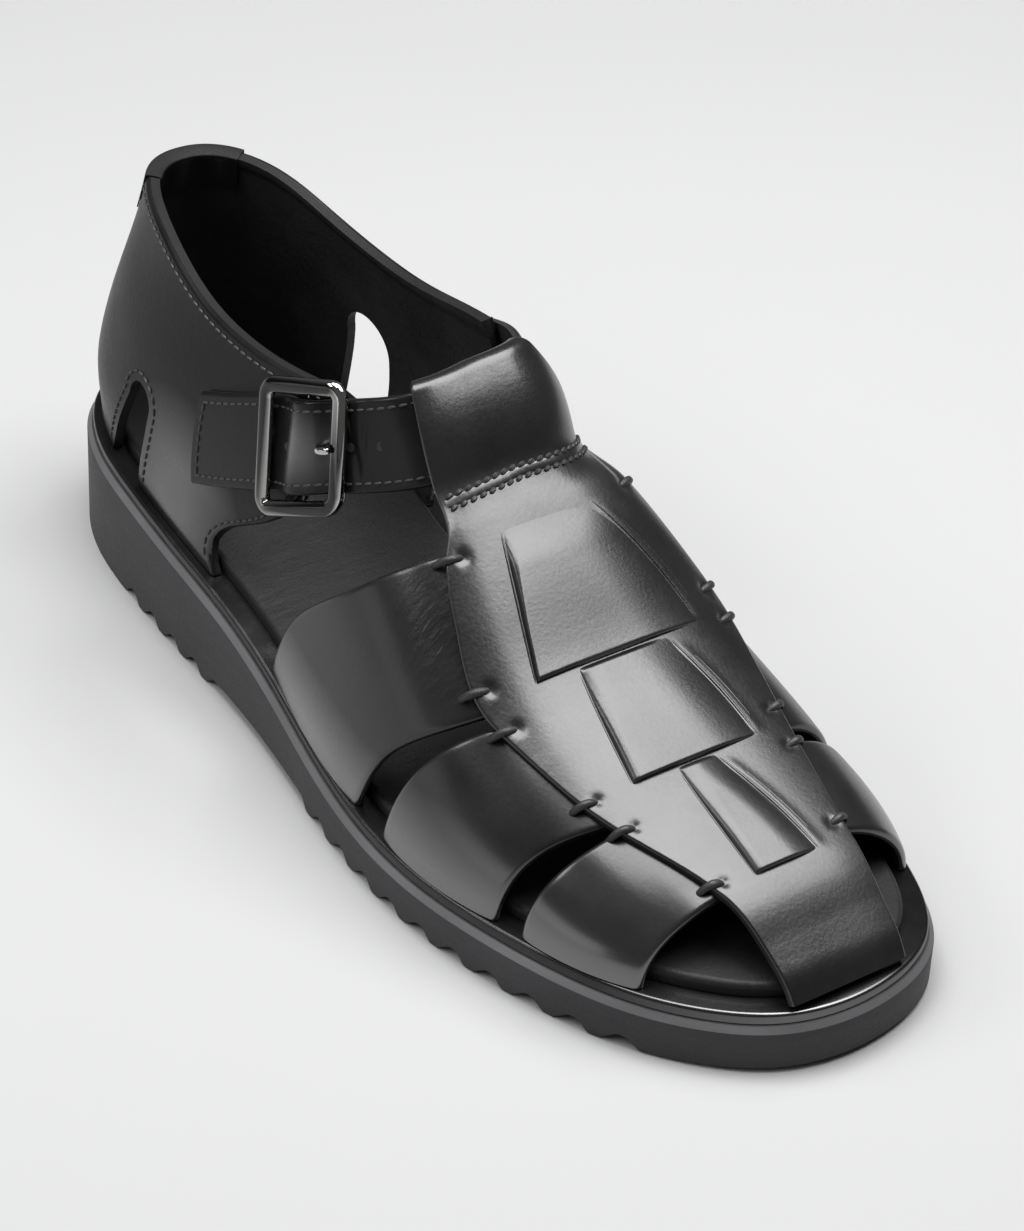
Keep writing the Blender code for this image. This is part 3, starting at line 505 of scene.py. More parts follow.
def edge_across(station, side, inset):
    """Y of the inset sole edge at a station; side is -1 lateral, 1 medial."""
    half = FULL_TURN[:HALF_TURN_STEPS + 1] if side < 0 else FULL_TURN[HALF_TURN_STEPS:][::-1]
    points = outline(half, inset)
    return np.interp(station, points[:, 0], points[:, 1])


def ledge(station):
    """Height of the midsole's top face."""
    return sole_top(station) + GAP + MIDSOLE_THICKNESS


def sole_bottom(station):
    """Height of the sole's lowest points: flat, then rising with the square of the distance at the toe."""
    rise = np.clip((np.asarray(station) - TOE_SPRING_START) / (LENGTH - TOE_SPRING_START), 0, 1)
    return TOE_SPRING * rise ** 2


def between(low, high, part):
    """The value at a share of the way from low to high."""
    return low + (high - low) * part


def ease(t):
    """Smooth step from 0 to 1: three squares less two cubes."""
    t = np.clip(t, 0, 1)
    return t * t * (3 - 2 * t)


def swell(t):
    """Quarter ellipse from 0 to 1: the root of one less the square of what is left."""
    return np.sqrt(1 - (1 - np.clip(t, 0, 1)) ** 2)


def circle(count, start=0.0):
    """Angles once round, evenly spaced, from a share of the first step."""
    return (np.arange(count) + start) * 2 * math.pi / count


def ends_close(count):
    """Numbers from 0 to 1, close together at both ends: half of one less the cosine."""
    return 0.5 - 0.5 * np.cos(np.linspace(0, math.pi, count))


def unit(vectors):
    """Vectors of length one."""
    return vectors / np.maximum(np.linalg.norm(vectors, axis=-1, keepdims=True), LEAST_LENGTH)


def raised(points, normal, distance):
    """Points moved along their normals by a distance."""
    return points + np.asarray(distance)[..., None] * normal


def running_length(*coordinates):
    """Length along each row of points, from 0 at its start."""
    steps = np.sqrt(sum(np.diff(values, axis=-1) ** 2 for values in coordinates))
    return np.concatenate([np.zeros(steps.shape[:-1] + (1,)), np.cumsum(steps, axis=-1)], axis=-1)


def read_rows(reach, length, *rows):
    """Values of each row where its running length equals the reach, by straight lines between samples."""
    cell = np.clip(np.sum(length <= reach[..., None], axis=-1) - 1, 0, length.shape[-1] - 2)[..., None]

    def ends(row):
        return (np.take_along_axis(row, at, -1)[..., 0] for at in (cell, cell + 1))

    low, high = ends(length)
    part = (reach - low) / np.maximum(high - low, TINY)
    return [between(*ends(row), part) for row in rows]


def last_points(stations, girths):
    """Points on the last: a quarter superellipse either side of the ridge, read by arc length."""
    angle = np.linspace(0, math.pi / 2, SECTION_POINTS)
    out = np.sin(angle) ** (2 / SECTION_TOP_POWER)
    up = np.abs(np.cos(angle)) ** (2 / SECTION_SIDE_POWER)
    lateral = edge_across(stations, -1, WALL_BASE_INSET)
    medial = edge_across(stations, 1, WALL_BASE_INSET)
    middle = ridge_across(stations)[..., None]
    base_y = np.where(girths < 0, lateral, medial)[..., None]
    base_z = (ledge(stations) + GAP)[..., None]
    y = between(middle, base_y, out)
    z = between(base_z, ridge_height(stations)[..., None], up)
    length = running_length(y, z)
    y, z = read_rows(np.abs(girths) * length[..., -1], length, y, z)
    return np.stack([stations, y, z], axis=-1)


def section_drop(station, across):
    """How far the last falls below its ridge at a given Y, from the same superellipse."""
    station = np.minimum(station, TBAR_TOE_START)
    middle = ridge_across(station)
    lateral = edge_across(station, -1, WALL_BASE_INSET)
    medial = edge_across(station, 1, WALL_BASE_INSET)
    base_y = np.where(across < middle, lateral, medial)
    out = np.clip(np.abs((across - middle) / (base_y - middle)), 0, SECTION_LIMIT)
    up = (1 - out ** SECTION_TOP_POWER) ** (1 / SECTION_SIDE_POWER)
    return (ridge_height(station) - ledge(station) - GAP) * (1 - up)


def instep_point(stations, across):
    """Point on the last under the T-bar: the ridge carried across, let down by the section's drop."""
    first, last = RIDGE["station"][0], RIDGE["station"][-1]
    low = np.maximum(stations - RIDGE_STEP, first)
    high = np.minimum(stations + RIDGE_STEP, last)
    slope = (ridge_height(high) - ridge_height(low)) / (high - low)
    size = np.hypot(1, slope)
    drop = section_drop(stations, across) / size
    return np.stack([stations + drop * slope / size, across, ridge_height(stations) - drop / size], axis=-1)


def instep(stations, across, height):
    """Point at a height over the last, along the cross product of the surface's two directions."""
    step = SURFACE_STEP
    inside = np.clip(stations, RIDGE["station"][0] + step, RIDGE["station"][-1] - step)
    along = instep_point(inside + step, across) - instep_point(inside - step, across)
    beside = instep_point(inside, across + step) - instep_point(inside, across - step)
    normal = unit(np.cross(along, beside))
    return raised(instep_point(stations, across), normal, height), normal


def ankle_points(girths, heights):
    """Points on rings round the heel: superellipse ovals by height, read by arc length from the back."""
    angle = np.linspace(0, math.pi, RING_POINTS)
    cosine = np.cos(angle)
    sine = np.clip(np.sin(angle), 0, 1)
    row = {name: ring_columns[name](heights)[..., None] for name in ring_columns}
    outer_side = girths[..., None] < 0
    half = np.where(outer_side, row["lateral"], row["medial"]) - QUARTER_AXIS_Y
    front_power = np.where(outer_side, row["lateral_power"], row["medial_power"])
    power = 2 / np.where(cosine >= 0, row["back_power"], front_power)
    reach = np.where(cosine >= 0, row["back"], row["front"]) - row["widest"]
    x = row["widest"] + reach * np.abs(cosine) ** power
    y = QUARTER_AXIS_Y + half * sine ** power
    length = running_length(x, y)
    x, y = read_rows(np.abs(girths) * length[..., -1], length, x, y)
    return np.stack([x, y, heights], axis=-1)


def strap_surface(runs, shares, hump=False):
    """Inner face of the ankle strap and its normals; share is 0 at the upper edge, 1 at the lower."""
    edge = {name: strap_columns[name](runs) for name in strap_columns}
    run = between(edge["run_top"], edge["run_bottom"], shares)
    height = between(edge["height_top"], edge["height_bottom"], shares)
    lift = edge["lift"]
    if hump:
        away = np.clip(np.abs(runs - BUCKLE_RUN) * BUCKLE_RUN_LENGTH / HUMP_HALF_LENGTH, 0, 1)
        lift = lift + HUMP_HEIGHT * np.cos(away * math.pi / 2) ** 2
    point = np.clip((runs - strap_middle[-2]) / (strap_middle[-1] - strap_middle[-2]), 0, 1)
    run = run + ARROW_POINT * point * (1 - np.abs(2 * shares - 1))
    here, ahead, above = (
        ankle_points(np.where(run + forward <= 1, -run - forward, 2 - run - forward), height + up)
        for forward, up in ((0, 0), (RUN_STEP, 0), (0, HEIGHT_STEP))
    )
    normal = unit(np.cross(ahead - here, above - here))
    return raised(here, normal, lift), normal


def grid_normals(grid):
    """Unit normals of a grid of points, turned away from the middle of the sole."""
    normal = unit(np.cross(np.gradient(grid, axis=0), np.gradient(grid, axis=1)))
    return normal if np.sum(normal * (grid - CENTRE)) > 0 else -normal


def face_grid(rows, count, closed=False):
    """Quads between neighbouring points of a grid, closed round its columns if asked."""
    index = np.arange(rows * count).reshape(rows, count)
    if closed:
        index = np.concatenate([index, index[:, :1]], axis=1)
    corners = (index[:-1, :-1], index[1:, :-1], index[1:, 1:], index[:-1, 1:])
    return np.stack(corners, axis=-1).reshape(-1, 4)


def wall(inner, outer, keep=None):
    """Points, quads and kinds (0 outside, 1 inside, 2 cut edge) of a wall between two like grids.

    Quads that keep leaves out are holes. Every edge that only one quad uses gets a quad across the thickness.
    """
    rows, count = inner.shape[:2]
    half = rows * count
    quads = face_grid(rows, count)
    if keep is not None:
        quads = quads[keep.ravel()]
    edges = np.concatenate([quads[:, [k, (k + 1) % 4]] for k in range(4)])
    key = edges.min(axis=1) * half + edges.max(axis=1)
    _, same, uses = np.unique(key, return_inverse=True, return_counts=True)
    rim = edges[uses[same] == 1]
    across = np.stack([rim[:, 1] + half, rim[:, 0] + half, rim[:, 0], rim[:, 1]], axis=1)
    faces = np.concatenate([quads + half, quads[:, ::-1], across])
    kinds = np.repeat([0, 1, 2], [len(quads), len(quads), len(rim)])
    return np.concatenate([inner.reshape(-1, 3), outer.reshape(-1, 3)]), faces, kinds


def outwards(body):
    """The same body with its quads turned so that its volume is positive."""
    points, faces, kinds = body
    a, b, c, d = (points[faces[:, k]] - points.mean(axis=0) for k in range(4))
    volume = np.sum(a * np.cross(b, c)) + np.sum(a * np.cross(c, d))
    return points, faces if volume > 0 else faces[:, ::-1], kinds


def plain_body(points, faces):
    """Points, quads and kinds of a closed body with a single finish, turned outwards."""
    return outwards((points.reshape(-1, 3), faces, np.zeros(len(faces), int)))


def layers(rings):
    """A body of stacked closed rings, its ends closed by rungs across."""
    rows, count = rings.shape[:2]
    start = np.arange(count // 2 - 1)
    rungs = np.stack([start, start + 1, count - 2 - start, count - 1 - start], axis=1)
    faces = np.concatenate([face_grid(rows, count, closed=True), rungs, rungs[:, ::-1] + (rows - 1) * count])
    return plain_body(rings, faces)


def wire(path, normal, half_width, half_height, sides, power=2.0, closed=False):
    """A superellipse section carried along a path, closed or with flat ends.

    Its width lies across the path, in the surface that the normals belong to.
    """
    if closed:
        forward = unit(np.roll(path, -1, axis=0) - np.roll(path, 1, axis=0))
    else:
        forward = unit(np.gradient(path, axis=0))
    beside = unit(np.cross(forward, normal))
    up = np.cross(beside, forward)
    turn = circle(sides)
    wide, high = (np.sign(way) * np.abs(way) ** (2 / power) for way in (np.cos(turn), np.sin(turn)))
    count = len(path)
    width = np.broadcast_to(half_width, count)[:, None, None]
    height = np.broadcast_to(half_height, count)[:, None, None]
    rings = path[:, None] + beside[:, None] * wide[:, None] * width + up[:, None] * high[:, None] * height
    if not closed:
        return layers(rings)
    return plain_body(rings, face_grid(count + 1, sides, closed=True) % (count * sides))


def together(parts):
    """Several bodies as one: their points and their quads one after the other."""
    starts = np.cumsum([0] + [len(points) for points, _, _ in parts[:-1]])
    points = np.concatenate([part[0] for part in parts])
    faces = np.concatenate([part[1] + start for part, start in zip(parts, starts)])
    return points, faces, np.concatenate([part[2] for part in parts])


def place(name, body, materials, nodes=(), sharp=PLAIN_SHARP):
    """A mesh object from a body in millimetres; it rides on the shoe and stands for the named solids.

    Faces take the finish of their kind, or the last one listed. Edges over the sharp angle stay crisp.
    """
    points, faces, kinds = outwards(body)
    used, faces = np.unique(faces, return_inverse=True)
    faces = faces.reshape(-1, 4)
    mesh = bpy.data.meshes.new(name)
    mesh.vertices.add(len(used))
    mesh.vertices.foreach_set("co", ((points[used] - CENTRE) * MM).astype(np.float32).ravel())
    mesh.loops.add(faces.size)
    mesh.loops.foreach_set("vertex_index", faces.astype(np.int32).ravel())
    mesh.polygons.add(len(faces))
    mesh.polygons.foreach_set("loop_start", np.arange(0, faces.size, 4, dtype=np.int32))
    for material in materials:
        mesh.materials.append(material)
    limit = len(materials) - 1
    mesh.polygons.foreach_set("material_index", np.minimum(kinds, limit).astype(np.int32))
    mesh.update(calc_edges=True)
    mesh.validate()
    mesh.shade_smooth()
    mesh.set_sharp_from_angle(angle=math.radians(sharp))
    piece = bpy.data.objects.new(name, mesh)
    bpy.context.scene.collection.objects.link(piece)
    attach(piece, "root")
    if nodes:
        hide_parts(*nodes)


# Between these lies most of a noise from 0 to 1
NOISE_RANGE = (0.3, 0.7)


class Field:
    """A socket in a material's tree; expressions on it add Math nodes."""

    def __init__(self, tree, socket=None):
        self.tree = tree
        self.socket = socket

    def feed(self, node, inputs):
        """Links fields to a node's sockets and sets plain values on them."""
        for key, value in inputs.items():
            if isinstance(value, Field):
                self.tree.links.new(value.socket, node.inputs[key])
            else:
                node.inputs[key].default_value = value

    def node(self, kind, settings=None, inputs=None, output=0):
        """A new node: its settings first, then the values or links of its sockets; gives one output."""
        made = self.tree.nodes.new(kind)
        for name, value in (settings or {}).items():
            setattr(made, name, value)
        self.feed(made, inputs or {})
        return Field(self.tree, made.outputs[output])

    def math(self, operation, *values):
        """A Math node on values or fields."""
        return self.node("ShaderNodeMath", {"operation": operation}, dict(enumerate(values)))

    def __add__(self, other):
        return self.math("ADD", self, other)

    def __sub__(self, other):
        return self.math("SUBTRACT", self, other)

    def __mul__(self, other):
        return self.math("MULTIPLY", self, other)

    def clamp(self, low, high, to_low=0.0, to_high=1.0):
        """The value mapped from one range to another and held there."""
        inputs = {"Value": self, "From Min": low, "From Max": high, "To Min": to_low, "To Max": to_high}
        return self.node("ShaderNodeMapRange", {"clamp": True}, inputs)

    def spread(self, to_low=0.0, to_high=1.0):
        """Noise stretched from its usual range to another."""
        return self.clamp(*NOISE_RANGE, to_low, to_high)


def start_material(name):
    """A new material: its tree as a field, its Principled shader, and its object coordinates."""
    material = bpy.data.materials.new(name)
    material.use_nodes = True
    tree = material.node_tree
    root = Field(tree)
    coordinates = root.node("ShaderNodeTexCoord", output="Object")
    return material, root, tree.nodes["Principled BSDF"], coordinates


def noise(root, where, scale, detail, roughness=0.55):
    """Fractal noise from 0 to 1 on a place."""
    inputs = {"Vector": where, "Scale": scale, "Detail": detail, "Roughness": roughness}
    return root.node("ShaderNodeTexNoise", None, inputs, "Fac")


def streaks(root, where, stretch, detail):
    """Fractal noise drawn out by a scale along each axis."""
    mapped = root.node("ShaderNodeMapping", {"vector_type": "POINT"}, {"Vector": where, "Scale": stretch})
    return noise(root, mapped, scale=1.0, detail=detail)


# Sockets of a Mix node that mixes colours
MIX_FACTOR, MIX_LOW, MIX_HIGH, MIX_RESULT = 0, 6, 7, 2


def toned(root, part, colour, low, high):
    """A colour that runs from a darker to a lighter shade of one colour."""
    dark, light = ((*(min(channel * factor, 1.0) for channel in colour), 1.0) for factor in (low, high))
    inputs = {MIX_FACTOR: part, MIX_LOW: dark, MIX_HIGH: light}
    return root.node("ShaderNodeMix", {"data_type": "RGBA"}, inputs, MIX_RESULT)


def connect(root, shader, **values):
    """Feeds the shader's sockets, named with underlines for spaces."""
    root.feed(shader, {name.replace("_", " "): value for name, value in values.items()})


def bumped(root, height, distance):
    """A normal bumped by a height of 0 to 1, which the distance turns into metres."""
    inputs = {"Height": height, "Distance": distance, "Strength": 1.0}
    return root.node("ShaderNodeBump", None, inputs)


def spot(root, where, centre, inner, outer):
    """One within the inner distance of a point, falling to 0 at the outer."""
    far = root.node("ShaderNodeVectorMath", {"operation": "DISTANCE"}, {0: where, 1: centre}, "Value")
    return far.clamp(inner, outer, 1.0, 0.0)


def height_over_ledge(root, where):
    """The Z of a place over the ledge, which falls from the waist to the forefoot and is level from there."""
    x = root.node("ShaderNodeSeparateXYZ", None, {0: where}, "X")
    z = root.node("ShaderNodeSeparateXYZ", None, {0: where}, "Z")
    return z + x.math("MINIMUM", x, LEDGE_LEVEL_FROM) * LEDGE_FALL - LEDGE_HEIGHT


def polished_leather(name, colour, roughness, grain, coat, specular, wave=0.0, gloss=None, shine=(),
                     worn=None):
    """Smooth waxed calf: fine pores, faint draw lines and a cloudy gloss; a wave ripples it.

    Gloss is a lower and an upper height between which the coat thins out, for straps buffed at the sole.
    Shine lists buffed patches: the middle of each and the distances at which it starts and stops to fade.
    Worn is the middle of a wrinkled patch.
    """
    material, root, shader, where = start_material(name)
    cloud = noise(root, where, scale=38.0, detail=3.0)
    fine = noise(root, where, scale=900.0, detail=2.0)
    pore_inputs = {"Vector": where, "Scale": 1100.0, "Smoothness": 0.6}
    pores = root.node("ShaderNodeTexVoronoi", {"feature": "SMOOTH_F1"}, pore_inputs, "Distance")
    draw = streaks(root, where, DRAW_STRETCH, detail=2.0)
    height = pores * (PORE_SHARE * grain) + fine * (FINE_SHARE * grain) + draw * (DRAW_SHARE * grain)
    if wave:
        height = height + noise(root, where, scale=85.0, detail=1.0) * (wave / GRAIN_DEPTH)
    if worn:
        folds = streaks(root, where, WORN_STRETCH, detail=3.0)
        height = height + folds * spot(root, where, worn, *WORN_REACH) * WORN_DEPTH
    share = coat
    coat_index = PLAIN_COAT_INDEX
    if gloss:
        share = height_over_ledge(root, where).clamp(*gloss, 1.0, coat)
        coat_index = GLOSS_COAT_INDEX
    for patch in shine:
        share = spot(root, where, *patch) * BUFFED_COAT + share
        coat_index = BUFFED_COAT_INDEX
    cloudy = cloud.spread(-0.05, 0.06) + fine.spread(0.0, 0.05)
    connect(
        root, shader,
        Base_Color=toned(root, cloud.clamp(0.35, 0.75), colour, 0.8, 1.5),
        Roughness=cloudy + roughness,
        Normal=bumped(root, height, GRAIN_DEPTH),
        Specular_IOR_Level=specular,
        Coat_Weight=share,
        Coat_IOR=coat_index,
        Coat_Roughness=0.2,
    )
    return material


def rough_leather(name, colour, roughness, scale, depth, folds=0.0):
    """Suede side, lining or cut edge: matte nap with soft mottling, and long folds if asked for."""
    material, root, shader, where = start_material(name)
    cloud = noise(root, where, scale=55.0, detail=4.0)
    nap = noise(root, where, scale=scale, detail=3.0, roughness=0.7)
    height = nap + cloud * 0.5
    if folds:
        crease = streaks(root, where, FOLD_STRETCH, detail=2.0)
        patch = noise(root, where, scale=45.0, detail=1.0).clamp(0.42, 0.62)
        height = height + crease * patch * folds
    mottle = (cloud * 0.6 + nap * 0.4).spread()
    connect(
        root, shader,
        Base_Color=toned(root, mottle, colour, 0.65, 1.5),
        Roughness=nap.clamp(0.25, 0.75, roughness - 0.08, roughness + 0.08),
        Normal=bumped(root, height, depth),
        Specular_IOR_Level=0.25,
    )
    return material


def sole_rubber(name, colour):
    """Matte moulded rubber: fine tooth, faint scuffs along the walls."""
    material, root, shader, where = start_material(name)
    cloud = noise(root, where, scale=30.0, detail=3.0)
    grit = noise(root, where, scale=1600.0, detail=2.0)
    scuff = streaks(root, where, SCUFF_STRETCH, detail=3.0)
    mottle = (cloud * 0.6 + scuff * 0.4).clamp(0.35, 0.7)
    connect(
        root, shader,
        Base_Color=toned(root, mottle, colour, 0.85, 1.25),
        Roughness=grit.spread(0.52, 0.64),
        Normal=bumped(root, grit * 0.6 + scuff * 0.4, RUBBER_DEPTH),
        Specular_IOR_Level=0.35,
    )
    return material


def polished_nickel(name, colour, face=None):
    """Polished plated metal with faint hairlines, bright at its edges and darkened on its face.

    Face is the two heights over the frame's middle plane between which the colour darkens: a painted dark
    reflection, in place of the dark room that a polished face would mirror.
    """
    material, root, shader, where = start_material(name)
    lines = streaks(root, where, HAIRLINE_STRETCH, detail=2.0)
    hairlines_and_painted_reflection = lines
    darkest = PLAIN_DARKEST
    # The face's colour falls to a tenth: a painted dark reflection in place of the dark room it would mirror
    if face:
        offset = root.node("ShaderNodeVectorMath", {"operation": "SUBTRACT"}, {0: where, 1: FRAME_MIDDLE})
        sides = {0: offset, 1: FRAME_OUT}
        height = root.node("ShaderNodeVectorMath", {"operation": "DOT_PRODUCT"}, sides, "Value")
        hairlines_and_painted_reflection = height.clamp(*face, 1.0, 0.0)
        darkest = PAINTED_REFLECTION_DARKEST
    connect(
        root, shader,
        Base_Color=toned(root, hairlines_and_painted_reflection, colour, darkest, 1.05),
        Roughness=lines.spread(0.05, 0.11),
        Metallic=1.0,
    )
    return material


def waxed_thread(name, colour):
    """Twisted waxed thread."""
    material, root, shader, where = start_material(name)
    twist = noise(root, where, scale=2600.0, detail=2.0)
    connect(
        root, shader,
        Base_Color=toned(root, twist, colour, 0.6, 1.6),
        Roughness=twist.spread(0.4, 0.6),
        Normal=bumped(root, twist, THREAD_DEPTH),
    )
    return material


def paper_floor(name, colour):
    """Plain pale paper."""
    material, root, shader, where = start_material(name)
    fibre = noise(root, where, scale=14.0, detail=2.0)
    connect(
        root, shader,
        Base_Color=toned(root, fibre.spread(), colour, 0.995, 1.0),
        Roughness=fibre.spread(0.9, 0.95),
        Specular_IOR_Level=0.1,
    )
    return material


# Depths of the fine relief in metres
GRAIN_DEPTH = 0.00006
RUBBER_DEPTH = 0.00012
THREAD_DEPTH = 0.0001

# Shares of pores, fine grain and draw lines in the leather's relief
PORE_SHARE = 0.25
FINE_SHARE = 0.3
DRAW_SHARE = 0.5

# Noise per metre along X, Y and Z, for lines that run one way
DRAW_STRETCH = (260.0, 60.0, 160.0)
WORN_STRETCH = (620.0, 150.0, 240.0)
FOLD_STRETCH = (420.0, 110.0, 260.0)
SCUFF_STRETCH = (40.0, 40.0, 420.0)
HAIRLINE_STRETCH = (300.0, 300.0, 2400.0)

# Coats of the leather, the worn patch, and the tones of the plating; on the buckle's face a painted dark
# reflection
PLAIN_COAT_INDEX = 1.5
GLOSS_COAT_INDEX = 2.1
BUFFED_COAT_INDEX = 2.0
BUFFED_COAT = 0.8
WORN_REACH = (0.004, 0.026)
WORN_DEPTH = 4.0
PLAIN_DARKEST = 0.9
PAINTED_REFLECTION_DARKEST = 0.1

# Places that finishes are measured from, and how far, in metres
BUCKLE_SEAT = strap_surface(np.array([BUCKLE_RUN]), STRAP_MIDDLE, hump=True)[0][0]
BUCKLE_MIDDLE = tuple((BUCKLE_SEAT - CENTRE) * MM)
# Middle of the buckle's frame and the way it looks out, which place the painted dark reflection on its face
FRAME_MIDDLE = (-0.0214, -0.0348, 0.0822)
FRAME_OUT = (0.148, -0.969, 0.196)
LEDGE_LEVEL_FROM = 0.03
LEDGE_FALL = 0.147
LEDGE_HEIGHT = 0.0198
HEEL_SHINE = ((-0.074, -0.037, 0.040), 0.006, 0.03)
BACK_SHINE = ((-0.105, 0.036, 0.045), 0.0, 0.07)
BUCKLE_SHINE = (BUCKLE_MIDDLE, 0.003, 0.011)
TOE_SHINE = ((0.138, -0.008, 0.0155), 0.004, 0.042)
REAR_STRAP_WORN = (0.037, -0.031, 0.062)

# Finishes: the maker, the colour and what is special
FINISHES = {
    "calf": (polished_leather, "leather", dict(roughness=0.3, grain=1.5, coat=0.45, specular=0.5)),
    "strap": (polished_leather, "leather", dict(
        roughness=0.3, grain=1.0, coat=0.12, specular=0.36, gloss=(0.004, 0.019), worn=REAR_STRAP_WORN)),
    "counter": (polished_leather, "leather", dict(
        roughness=0.33, grain=1.0, coat=0.03, specular=0.10, shine=(HEEL_SHINE, BACK_SHINE))),
    "band": (polished_leather, "leather", dict(
        roughness=0.3, grain=1.0, coat=0.05, specular=0.12, shine=(BUCKLE_SHINE,))),
    "runner": (polished_leather, "runner", dict(
        roughness=0.22, grain=0.5, coat=0.1, specular=0.25, wave=0.0006, shine=(TOE_SHINE,))),
    "insole": (rough_leather, "insole", dict(roughness=0.5, scale=1500.0, depth=0.00012, folds=1.8)),
    "lining": (rough_leather, "lining", dict(roughness=0.55, scale=1300.0, depth=0.00012, folds=4.0)),
    "cut_edge": (rough_leather, "cut_edge", dict(roughness=0.6, scale=2000.0, depth=0.0002)),
    "dyed_edge": (rough_leather, "dyed_edge", dict(roughness=0.55, scale=2000.0, depth=0.0001)),
    "rubber": (sole_rubber, "rubber", {}),
    "bevel": (sole_rubber, "bevel", {}),
    # The buckle frame's face is darkened in its colour between these heights, a painted dark reflection
    "nickel": (polished_nickel, "nickel", dict(face=(0.0011, 0.0017))),
    "prong": (polished_nickel, "nickel", {}),
    "thread": (waxed_thread, "thread", {}),
    "dark_thread": (waxed_thread, "dark_thread", {}),
    "paper": (paper_floor, "floor", {}),
}
MATERIALS = {}


def finish_of(name):
    """A material of the shoe, made once from the scene's colours."""
    if name not in MATERIALS:
        maker, colour_name, special = FINISHES[name]
        colours = bpy.context.scene.sandal_colours
        MATERIALS[name] = maker(name, getattr(colours, colour_name), **special)
    return MATERIALS[name]


def wall_finishes(outside, edge):
    """The finishes of a leather wall: outside, inside, cut edge."""
    return [finish_of(outside), finish_of("lining"), finish_of(edge)]


def tread_height(station):
    """Underside of the tread: saw teeth at heel and forefoot with rounded valleys, the waist raised between.

    Straight lines between the teeth's corners, as a mean over a short distance, then cut flat at the floor.
    """
    heel = HEEL_FIRST_TIP + np.arange(HEEL_TIPS) * TOOTH_PITCH
    forefoot = FOREFOOT_FIRST_TIP + np.arange(FOREFOOT_TIPS) * TOOTH_PITCH
    rear, front = (
        [(tip + part * TOOTH_PITCH, level) for tip in tips[:-1] for part, level in TOOTH]
        for tips in (heel, forefoot)
    )
    waist = [
        (heel[-1], TIP_LEVEL), (heel[-1] + WAIST_SLOPE, TOOTH_DEPTH),
        (FOREFOOT_FIRST_TIP - WAIST_SLOPE, TOOTH_DEPTH), (FOREFOOT_FIRST_TIP - WAIST_FOOT, TIP_LEVEL),
    ]
    at, level = np.array(rear + waist + front + [(forefoot[-1], TIP_LEVEL)]).T
    shifted = [np.interp(station + shift, at, level, TIP_LEVEL, TIP_LEVEL) for shift in TREAD_SOFTNESS]
    return np.maximum(np.mean(shifted, axis=0), 0) + sole_bottom(station)


def sole_rings(levels, points):
    """Closed rings of a sole layer; each level is an inset and a height function of the station."""
    turn = circle(points, start=0.5)
    plans = [outline(turn, inset) for inset, _ in levels]
    return np.array([np.column_stack([plan, height(plan[:, 0])]) for plan, (_, height) in zip(plans, levels)])


def outsole_body():
    """Outsole: its outline carried from the cut tread up a plain wall to a bevelled upper edge."""
    levels = [(inset, lambda x, rise=rise: tread_height(x) + rise) for inset, rise in OUTSOLE_LOW]
    levels.append((0.0, lambda x: (tread_height(x) + sole_top(x) - CHAMFER_HEIGHT) / 2))
    levels += [(inset, lambda x, drop=drop: sole_top(x) - drop) for inset, drop in OUTSOLE_HIGH]
    points, faces, kinds = layers(sole_rings(levels, SOLE_POINTS))
    # The faces of this ring take the lighter colour: a painted highlight along the upper edge, where light
    # falls from above
    kinds[BEVEL_RING * SOLE_POINTS:(BEVEL_RING + 1) * SOLE_POINTS] = 1
    return points, faces, kinds


def rounded_layer(inset, bottom, top, radius):
    """A thin layer with its upper edge rounded by a quarter circle."""
    levels = [(inset, bottom)]
    for angle in np.linspace(0, math.pi / 2, ROUND_STEPS):
        rise = radius * (1 - math.sin(angle))
        levels.append((inset + radius * (1 - math.cos(angle)), lambda x, rise=rise: top(x) - rise))
    return layers(sole_rings(levels, LAYER_POINTS))


def strap_body(edges, thickness, bulge):
    """A cross strap: the last's surface between two edges, thinned at its edges by a quarter ellipse."""
    rows, count = STRAP_GRID
    girth = np.linspace(-1, 1, count)
    rear = spline(STRAP_GIRTH, edges["rear"])(girth)
    front = spline(STRAP_GIRTH, edges["front"])(girth)
    share = ends_close(rows)[:, None]
    stations = between(rear, front, share)
    inner = last_points(stations, np.broadcast_to(girth, stations.shape))
    normal = grid_normals(inner)
    side = ease((np.abs(girth) - FLARE_FROM) / (1 - FLARE_FROM))
    crown = np.sin(math.pi * share) ** CROWN_POWER
    flare = bulge * side * between(FLARE_EDGE, 1, crown)
    inner = raised(inner, normal, flare + CROWN * crown)
    distance = np.minimum(share, 1 - share) * (front - rear)
    full = thickness * between(STRAP_EDGE_SHARE, 1, swell(distance / STRAP_EDGE))
    lift = STRAP_UNDERCUT * thickness * (1 - swell(distance / STRAP_UNDER_EDGE))
    return wall(raised(inner, normal, lift), raised(inner, normal, full))


def slits(row, stations):
    """Y of the lateral and medial slit beside a field of the T-bar, the medial one bowed by a half sine."""
    part = np.clip((stations - row["rear"]) / (row["front"] - row["rear"]), 0, 1)
    lateral = between(row["lateral_rear"], row["lateral_front"], part)
    medial = between(row["medial_rear"], row["medial_front"], part)
    return lateral, medial + row["bow"] * np.sin(math.pi * part)


def tack_places():
    """Station of each tack, Y of the T-bar's edge there, and the way out of the T-bar along Y."""
    sides = (("lateral", tbar_lateral, -1.0), ("medial", tbar_medial, 1.0))
    return [(station, edge(station), out) for side, edge, out in sides for station in TACKS[side]]


